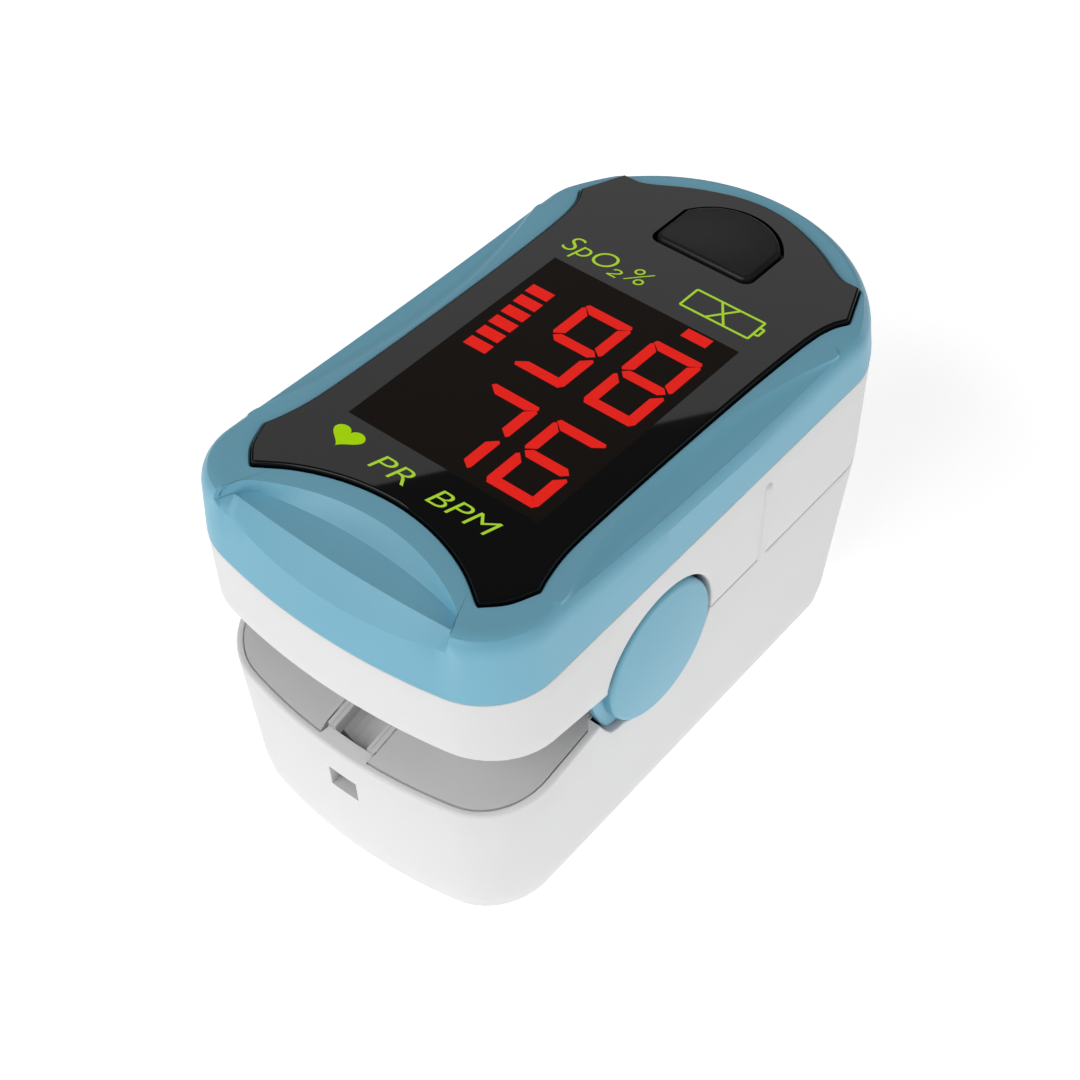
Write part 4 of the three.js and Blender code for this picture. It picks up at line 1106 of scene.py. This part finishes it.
def stroke(a, b, width):
    a, b = Vector(a), Vector(b)
    side = (b - a).normalized()
    side = Vector((-side.y, side.x)) * (width / 2)
    return [tuple(a - side), tuple(b - side), tuple(b + side), tuple(a + side)]


def battery_mark():
    """The low-battery outline with a cross in its middle."""
    left, near, right, far, line = 2.15, 11.35, 8.75, 13.75, 0.2
    nub_near, nub_far, nub_right = 12.1, 13.0, right + 0.45
    strokes = [
        ((left, near), (right, near)), ((left, far), (right, far)),
        ((left, near), (left, far)), ((right, near), (right, far)),
        ((right, nub_near), (nub_right, nub_near)), ((right, nub_far), (nub_right, nub_far)),
        ((nub_right, nub_near), (nub_right, nub_far)),
        ((4.6, far), (6.4, near)), ((4.6, near), (6.4, far)),
    ]
    flat_marks("battery_mark", [stroke(a, b, line) for a, b in strokes], PRINT_GREEN)


def heart_mark():
    shape = []
    for i in range(40):
        angle = 2 * math.pi * i / 40
        x = 16 * math.sin(angle) ** 3
        y = 13 * math.cos(angle) - 5 * math.cos(2 * angle) - 2 * math.cos(3 * angle) - math.cos(4 * angle)
        shape.append((-7.45 + x * 0.09, -17.05 + y * 0.075))
    flat_marks("heart_mark", [shape], HEART_GREEN)


def power_button():
    """The soft-edged button with its hidden flange."""
    cap = prism("button_cap", button_outline(), 30.2, BUTTON["top_z"], edge=0.42, sloping=True, steps=5)
    dress(cap, "button", "button", "power_button")
    flange = prism("button_flange", button_outline(0.85), 30.0, 30.5, edge=0.1, sloping=True, steps=1)
    dress(flange, "button", "button")


# -------- hinge caps
def hinge_caps():
    """Domed discs with a rounded rim, each with its tab towards the squeeze end."""
    rim, back, rim_top, dome = 0.45, 14.8, 15.9, 0.36
    face = CAP_RADIUS - rim
    profile = [(0, back), (CAP_RADIUS, back)]
    profile += [(CAP_RADIUS - inset, rim_top - drop) for inset, drop in rounding(rim, 8)]
    for i in range(1, 11):
        share = 1 - i / 10
        profile.append((face * share, rim_top + dome * (1 - share ** 2)))
    centre = (0, HINGE_Y + CAP_OFFSET, CAP_Z - CAP_OFFSET)
    outline = [(-13.4, 14.2), (-14.2, 14.4), (-14.7, 15.0), (-15.2, 15.9), (-15.7, 17.2), (-16.1, 18.5),
               (-16.5, 19.5), (-13.4, 19.6)]
    for side, name in SIDES:
        disc = turned(f"cap_disc_{name}", profile, centre, (side, 0, 0))
        dress(disc, "lower_half", "blue_shell", f"hinge_cap_{name}")
        loops = []
        for inset, x in ((0, 14.45), (0, 14.8), (0.06, 14.9), (0.18, 14.95)):
            loops.append([(side * x, y + inset, z + inset * (0.6 if z < 15.5 else 0)) for y, z in outline])
        tab = skin(f"cap_tab_{name}", loops, around=False, capped=True)
        dress(tab, "lower_half", "blue_shell")


# -------- finger pads
def finger_pads():
    """Silicone liners: ribbed inside, with a rounded lip at the finger opening."""
    outer_half, corner = CHANNEL_HALF_WIDTH - GAP, CHANNEL_CORNER - GAP
    ribs, rib_height, rib_reach, lip, count = 13, 0.11, 6.6, 0.3, 110
    specs = (
        ("lower", CHANNEL_FLOOR_Z + GAP, 17.3, 1, CHANNEL_START_Y - 0.6),
        ("upper", CHANNEL_ROOF_Z - GAP, 18.5, -1, CHANNEL_START_Y + GAP),
    )
    for name, base, brim, up, start in specs:
        outside = pad_section(outer_half, base, corner, brim)
        inside = pad_section(outer_half - PAD_THICKNESS, base + up * PAD_THICKNESS, corner, brim)
        loops = []
        for i in range(count + 1):
            v = i / count
            end = smoothstep((v - 0.975) / 0.025)
            begin = smoothstep((0.02 - v) / 0.02)
            rib = rib_height * (0.5 + 0.5 * math.cos(2 * math.pi * v * ribs))
            loop = [pad_point(x, z, v, start) for x, z in outside]
            for x, z in reversed(inside):
                flat = max(0.0, 1 - (abs(x) / rib_reach) ** 6)
                shift = up * (rib * flat + lip * (end + begin))
                loop.append(pad_point(x * (1 + 0.03 * end), z - shift, v, start))
            loops.append(loop)
        pad = skin(f"pad_{name}", loops, around=False, capped=True)
        dress(pad, f"{name}_half", "finger_pad", f"{name}_finger_pad")


def pad_section(half, crown, radius, brim):
    """A section like arch(), with extra points across the crown for the ribs."""
    section = arch(half, crown, radius, brim, steps=5)
    middle = len(section) // 2
    left, right = section[middle - 1][0], section[middle][0]
    extra = [(left + (right - left) * i / 12, crown) for i in range(1, 12)]
    return section[:middle] + extra + section[middle:]


def far_arc_y(x):
    """The plan's far end at x, before it is scaled to a level."""
    return HALF_LENGTH - FAR_ARC_RADIUS + math.sqrt(FAR_ARC_RADIUS ** 2 - x ** 2)


def pad_point(x, z, v, start):
    far = far_arc_y(x) * 27.4 / HALF_LENGTH
    return (x, start + (far - start) * v, z)


# -------- grey deck
def deck_point(at, drop=0.0):
    return (at.x, at.y, lower_rim(at.y) - 0.03 - drop)


def deck_columns():
    """(edge, ledge, drop) from the groove to the side along the right half of the deck's rim."""
    found = []
    line = GROOVE_BORDER
    near = [(GROOVE_HALF, 0.06), (GROOVE_HALF + 0.04, 0), (line - 0.03, 0), (line, 0.05),
            (line + 0.07, 0.05), (line + 0.1, 0), (RIM_TAB_HALF - 0.04, 0)]
    for x, drop in near:
        found.append((Vector((x, RIM_TAB_Y)), Vector((x, RIM_TAB_Y - DECK_GAP)), drop))
    found.append((Vector((RIM_TAB_HALF, RIM_TAB_Y)), Vector((RIM_TAB_HALF - DECK_GAP, RIM_TAB_Y)), 0))
    start_s, end_s = travel_at_near_x(RIM_TAB_HALF), travel_at_y(GROOVE_END_Y)
    for i in range(36):
        s = start_s + (end_s - start_s) * i / 35
        z = lower_rim(plan(s)[1])
        edge, ledge = (wall_point(s, z, LIP + gap, LOWER_LEVELS).xy for gap in (DECK_GAP, 0))
        found.append((edge, ledge, 0))
    return found


def deck_halves():
    """The tray's deck beside its groove, one piece on each side, with a fine line beside the rim."""
    columns = deck_columns()
    widest = columns[-1][0].x
    line_end = GROOVE_BORDER + 0.05
    rows = [(-1, DECK_LEDGE), (0, DECK_LEDGE), (0, 0.04), (0.012, 0), (0.2, 0), (0.5, 0), (0.8, 0), (1, 0)]
    for side, name in SIDES:
        loops = []
        for v, drop in rows:
            top, under = [], []
            for edge, ledge, sink in columns:
                share = max(0.0, (edge.x - GROOVE_HALF) / (widest - GROOVE_HALF))
                target = Vector((GROOVE_HALF + (widest - GROOVE_HALF) * share, GROOVE_END_Y))
                at = ledge if v < 0 else edge.lerp(target, v)
                at = Vector((side * at.x, at.y))
                top.append(deck_point(at, max(drop, sink)))
                under.append(deck_point(at, GROOVE_WALL if edge.x < line_end else DECK_UNDER))
            loops.append(top + list(reversed(under)))
        half = skin(f"deck_{name}", loops, around=False, capped=True, folded=True)
        dress(half, "lower_half", "grey_tray")


def deck_far():
    """The deck beyond the groove, up to the finger channel."""
    loops = []
    for i in range(19):
        y = GROOVE_END_Y + (DECK_END_Y - GROOVE_END_Y) * i / 18
        half = wall_point(travel_at_y(y), lower_rim(y), lip_width(y), LOWER_LEVELS).x
        section = [(-half, DECK_LEDGE), (DECK_GAP - half, DECK_LEDGE), (DECK_GAP - half, 0)]
        section += [(-x, drop) for x, drop in reversed(section)]
        section += [(half, DECK_UNDER), (-half, DECK_UNDER)]
        loops.append([deck_point(Vector((x, y)), drop) for x, drop in section])
    dress(skin("deck_far", loops, around=False, capped=True), "lower_half", "grey_tray")


# -------- battery door
def door_section(row, inset, xs, grooves):
    """One folded row of the door: at y = row, or inset from its rounded far edge when row is None."""
    under, over = [], []
    for x in xs:
        far = far_arc_y(x * HALF_WIDTH / FOOT_HALF_WIDTH) * FOOT_FAR_Y / HALF_LENGTH
        z = 0.0
        if row is None:
            y = far - inset
            bend = (DOOR_FOOT - min(inset, DOOR_FOOT)) / DOOR_FOOT
            z = FOOT_HEIGHT * (1 - math.sqrt(max(0.0, 1 - bend ** 2)))
        else:
            y = min(row, far - 1.31)
        if abs(x) < 5 and any(g < y < g + 0.6 for g in grooves):
            z = 0.35
        if abs(x) == xs[-1] or y == DOOR_START_Y:
            z = max(z, 0.12)
        under.append((x, y, z))
        over.append((x, y, DOOR_THICKNESS))
    return under + list(reversed(over))


def battery_door():
    """The flush sliding door with grip grooves, rounded at the finger end like the shell's foot."""
    half = 11.1
    grooves = [17 + i * 1.2 for i in range(5)]
    ys = [DOOR_START_Y, DOOR_START_Y + 0.12] + [DOOR_START_Y + 2 * i for i in range(1, 19)]
    for y in grooves:
        ys += [y - 0.05, y + 0.12, y + 0.48, y + 0.65]
    right = [1, 3, 4.9, 5.15, 7, 9, half - 0.12, half]
    xs = [-x for x in reversed(right)] + [0] + right
    loops = [door_section(y, 0, xs, grooves) for y in sorted(ys) + [23.6]]
    loops += [door_section(None, inset, xs, grooves) for inset in (1.3, 1.0, 0.65, 0.35, 0.13, 0.0)]
    door = skin("door_plate", loops, around=False, capped=True, folded=True)
    dress(door, "door", "white_shell", "battery_door")
    for side, name in SIDES:
        left, right = sorted((side * 11.0, side * 12.0))
        outline = rectangle(left, DOOR_START_Y, right, 19.9)
        tongue = prism(f"door_tongue_{name}", outline, 0.85, DOOR_THICKNESS, edge=0.12, steps=2)
        dress(tongue, "door", "white_shell")


# -------- parts that bend at the hinge
def bending_parts():
    """The springs and the flexible strip: each is a copy of its CAD shape, attached to neither half."""
    spring = ((0, -12.4, 18), (0, -5.2, 18))
    spans = (("jaw_spring_left", "steel", spring), ("jaw_spring_right", "steel", spring),
             ("flex_cable", "flex_strip", ((0, HINGE_Y, 17.0), (0, HINGE_Y, 21.8))))
    for node, slot, (start, end) in spans:
        piece = add_object(f"{node}_bending", frame["nodes"][node].data.copy())
        finish_edges(piece, math.radians(50))
        dress(piece, None, slot, node)
        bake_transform(piece)


# -------- camera, lights and floor
CAMERA = {"azimuth": 40.56, "elevation": 47.58, "roll": -1.70, "distance": 174.39,
          "target": (0.06, -4.16, 17.0), "lens": 71.13}
LIT_POINT = Vector((0, 0, 17))         # the lights aim at the object's middle


def direction(azimuth, elevation):
    """The way from the object towards an azimuth and elevation in degrees."""
    azimuth, elevation = math.radians(azimuth), math.radians(elevation)
    flat = math.cos(elevation)
    return Vector((math.sin(azimuth) * flat, -math.cos(azimuth) * flat, math.sin(elevation)))


def facing(back, roll, place):
    """A matrix at a place in metres that looks along -back, rolled by degrees."""
    level = UP.cross(back).normalized()
    up = back.cross(level)
    roll = math.radians(roll)
    right = level * math.cos(roll) + up * math.sin(roll)
    turn = Matrix((right, back.cross(right), back)).transposed().to_4x4()
    return Matrix.Translation(place) @ turn


def place_camera():
    data = bpy.data.cameras.new("camera")
    data.lens = CAMERA["lens"]
    data.sensor_width = 36
    data.clip_start = 0.01
    camera = add_object("camera", data)
    back = direction(CAMERA["azimuth"], CAMERA["elevation"])
    place = (Vector(CAMERA["target"]) + back * CAMERA["distance"]) * MM
    camera.matrix_world = facing(back, CAMERA["roll"], place)
    bpy.context.scene.camera = camera


def softbox(name, azimuth, elevation, distance, size, power):
    """An area light, aimed at the object's middle. Distance and size are in metres."""
    data = bpy.data.lights.new(name, "AREA")
    data.shape = "RECTANGLE"
    data.size, data.size_y = size
    data.energy = power
    lamp = add_object(name, data)
    back = direction(azimuth, elevation)
    lamp.location = LIT_POINT * MM + back * distance
    lamp.rotation_euler = back.to_track_quat("Z", "Y").to_euler()
    lamp.visible_camera = False
    return lamp


def panel_sheen():
    """The light that the panel mirrors towards the camera; its edge crosses the panel as a line."""
    azimuth, elevation, roll, across, up = 215.7, 39.4, 16.7, 0.038, -0.052
    lamp = softbox("panel_sheen_box", azimuth, elevation, 0.9, (0.40, 0.18), 0.24)
    back = direction(azimuth, elevation)
    level = UP.cross(back).normalized()
    place = lamp.location + level * across + back.cross(level) * up
    lamp.matrix_world = facing(back, roll, place)
    lamp.visible_diffuse = False


def light_scene():
    world = bpy.data.worlds.new("studio")
    world.use_nodes = True
    set_inputs(world.node_tree.nodes["Background"], {"Color": (1, 1, 1, 1), "Strength": 0.14})
    bpy.context.scene.world = world
    softbox("front_box", -12, 38, 0.9, (0.8, 0.6), 4.45)
    unmirrored = [
        softbox("top_fill", 0, 88, 1.2, (2.2, 2.2), 1.2),
        softbox("right_box", 95, 27, 0.9, (0.8, 0.6), 2.7),
        softbox("left_box", -70, 25, 0.9, (0.8, 0.6), 1.1),
    ]
    for lamp in unmirrored:
        lamp.visible_glossy = False
    panel_sheen()
    bpy.context.scene.view_settings.view_transform = "Standard"


def lay_floor():
    half, low = 2500, -0.02
    points = [(x, y, low) for x, y in rectangle(-half, -half, half, half)]
    floor = add_mesh("floor", points, [(0, 1, 2, 3)])
    material, _tree, shader = nodes_of("floor_paper")
    set_inputs(shader, {"Base Color": (0.92, 0.92, 0.92, 1), "Roughness": 0.9,
                        "Emission Color": (1, 1, 1, 1), "Emission Strength": 0.56})
    floor.data.materials.append(material)


place_camera()
light_scene()
lay_floor()
dress_frame()
upper_shell()
lower_shell()
side_ribs()
upper_floor()
upper_channel()
top_cover()
display_panel()
display_window()
lit_display()
text_mark("label_oxygen", "SpO₂%", -9.8, 11.0, 2.1, 8.3, PRINT_GREEN)
text_mark("label_rate", "PR", -4.2, -18.4, 1.85, 3.5, PRINT_GREEN)
text_mark("label_unit", "BPM", 1.45, -18.45, 1.85, 6.0, PRINT_GREEN)
battery_mark()
heart_mark()
power_button()
hinge_caps()
finger_pads()
deck_halves()
deck_far()
battery_door()
bending_parts()
